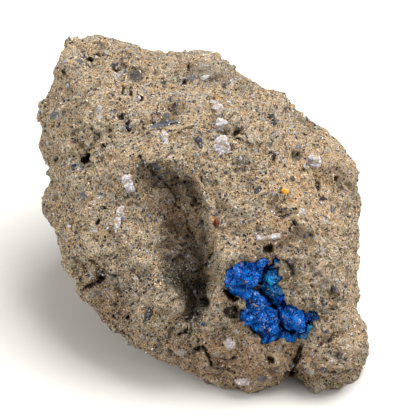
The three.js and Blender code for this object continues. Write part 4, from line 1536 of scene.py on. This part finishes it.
NEST_FINISHES = {
    "hauyne_crystal_round": HauyneFinish("hauyne_round", tints_and_painted_glints=(
        Clast(9.2, 7.4, 0.6, 0.45, -20, srgb(44, 116, 196), 0.5, 0.8),
        # painted sheen in the round crystal's middle
        Clast(9.6, 7.1, 0.12, 0.4, -10, srgb(196, 196, 226), 0.6, 0.6),
    )),
    "hauyne_crystal_upper": HauyneFinish("hauyne_upper", tints_and_painted_glints=(
        Clast(4.6, 11.4, 0.35, 0.3, 0, srgb(0, 140, 224), 0.7, 0.7),
        Clast(3.8, 12.8, 0.3, 0.35, 0, srgb(140, 146, 206), 0.6, 0.7),
        Clast(4, 9.9, 0.6, 0.35, 15, srgb(16, 80, 184), 0.5, 0.6),
        Clast(4.1, 11, 0.5, 0.16, 25, srgb(176, 160, 150), 0.6, 0.6),
    )),
    "hauyne_crystal_lower": HauyneFinish("hauyne_lower", tints_and_painted_glints=(
        Clast(5.2, 8.7, 0.5, 0.12, -25, srgb(186, 166, 134), 0.75, 0.8),
        Clast(5.5, 8.3, 0.3, 0.12, 40, srgb(186, 166, 134), 0.7, 0.8),
        Clast(4.7, 9, 0.12, 0.35, 10, srgb(186, 166, 134), 0.7, 0.8),
        # painted highlights: these two are glints on pale facets
        Clast(6.5, 6.2, 0.16, 0.4, -25, srgb(212, 210, 240), 0.8, 0.5),
        Clast(6.1, 6.5, 0.1, 0.22, 20, srgb(206, 204, 232), 0.8, 0.5),
        Clast(4.5, 7, 0.6, 0.5, 0, srgb(0, 112, 206), 0.5, 0.8),
        Clast(7.6, 6, 1.2, 0.7, -20, srgb(0, 50, 110), 0.45, 0.7),
    )),
    "hauyne_crystal_middle": HauyneFinish("hauyne_teal", srgb(2, 36, 84), srgb(8, 90, 150),
                                          srgb(20, 130, 196), tints_and_painted_glints=(
        # the lit cyan part of the middle crystal: its cyan colour, with painted light in it
        Clast(6.7, 11.1, 0.42, 0.8, -10, srgb(24, 158, 226), 0.75, 0.7),
        Clast(7.4, 12.6, 0.55, 0.35, 10, srgb(160, 148, 118), 0.85, 0.5),
        Clast(7.6, 9.3, 0.55, 0.5, 0, srgb(6, 62, 170), 0.8, 0.4),
    )),
    "hauyne_crystal_side": HauyneFinish("hauyne_dark", srgb(2, 18, 58), srgb(10, 54, 112),
                                        srgb(30, 96, 164)),
    "hauyne_crystal_edge": HauyneFinish("hauyne_edge", srgb(2, 52, 116), srgb(6, 112, 180),
                                        srgb(30, 160, 220), tints_and_painted_glints=(
        Clast(10.8, 6.5, 0.32, 0.28, 20, srgb(70, 196, 244), 0.85, 0.5),
    )),
}


def main() -> None:
    """Builds the specimen and its studio."""
    logging.basicConfig(level=logging.INFO, format="%(message)s")
    noise.seed_set(NOISE_SEED)
    Studio().build()
    singles = sorted(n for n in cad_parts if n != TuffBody.node and n not in NEST_FINISHES)
    tuff = TuffBody()
    nest = HauyneNest(tuple(NEST_FINISHES))
    crystals = list(nest.trees.values())
    tuff.build(singles, crystals)
    strewer = GrainStrewer(tuff.skin, crystals)
    ash = TuffFinish().material(tuff.ground)
    tuff.dress(ash)
    for kind in STREWN:
        strewer.strew(kind, kind.finish.material() if kind.finish else ash)
    nest.build(NEST_FINISHES)
    grains = SingleCrystals(tuff.ground)
    finishes = {
        "sanidine": (SANIDINE.material(), 0.0),
        "augite": (AUGITE.material(), 0.0),
        "titanite": (TITANITE.material(), 0.0),
        "hauyne": (DULL_HAUYNE.material(), -0.05),
    }
    for node in singles:
        slot = node.split("_")[0]
        material, growth = finishes[slot]
        grains.build(node, slot, material, growth)


if __name__ == "__main__":
    main()
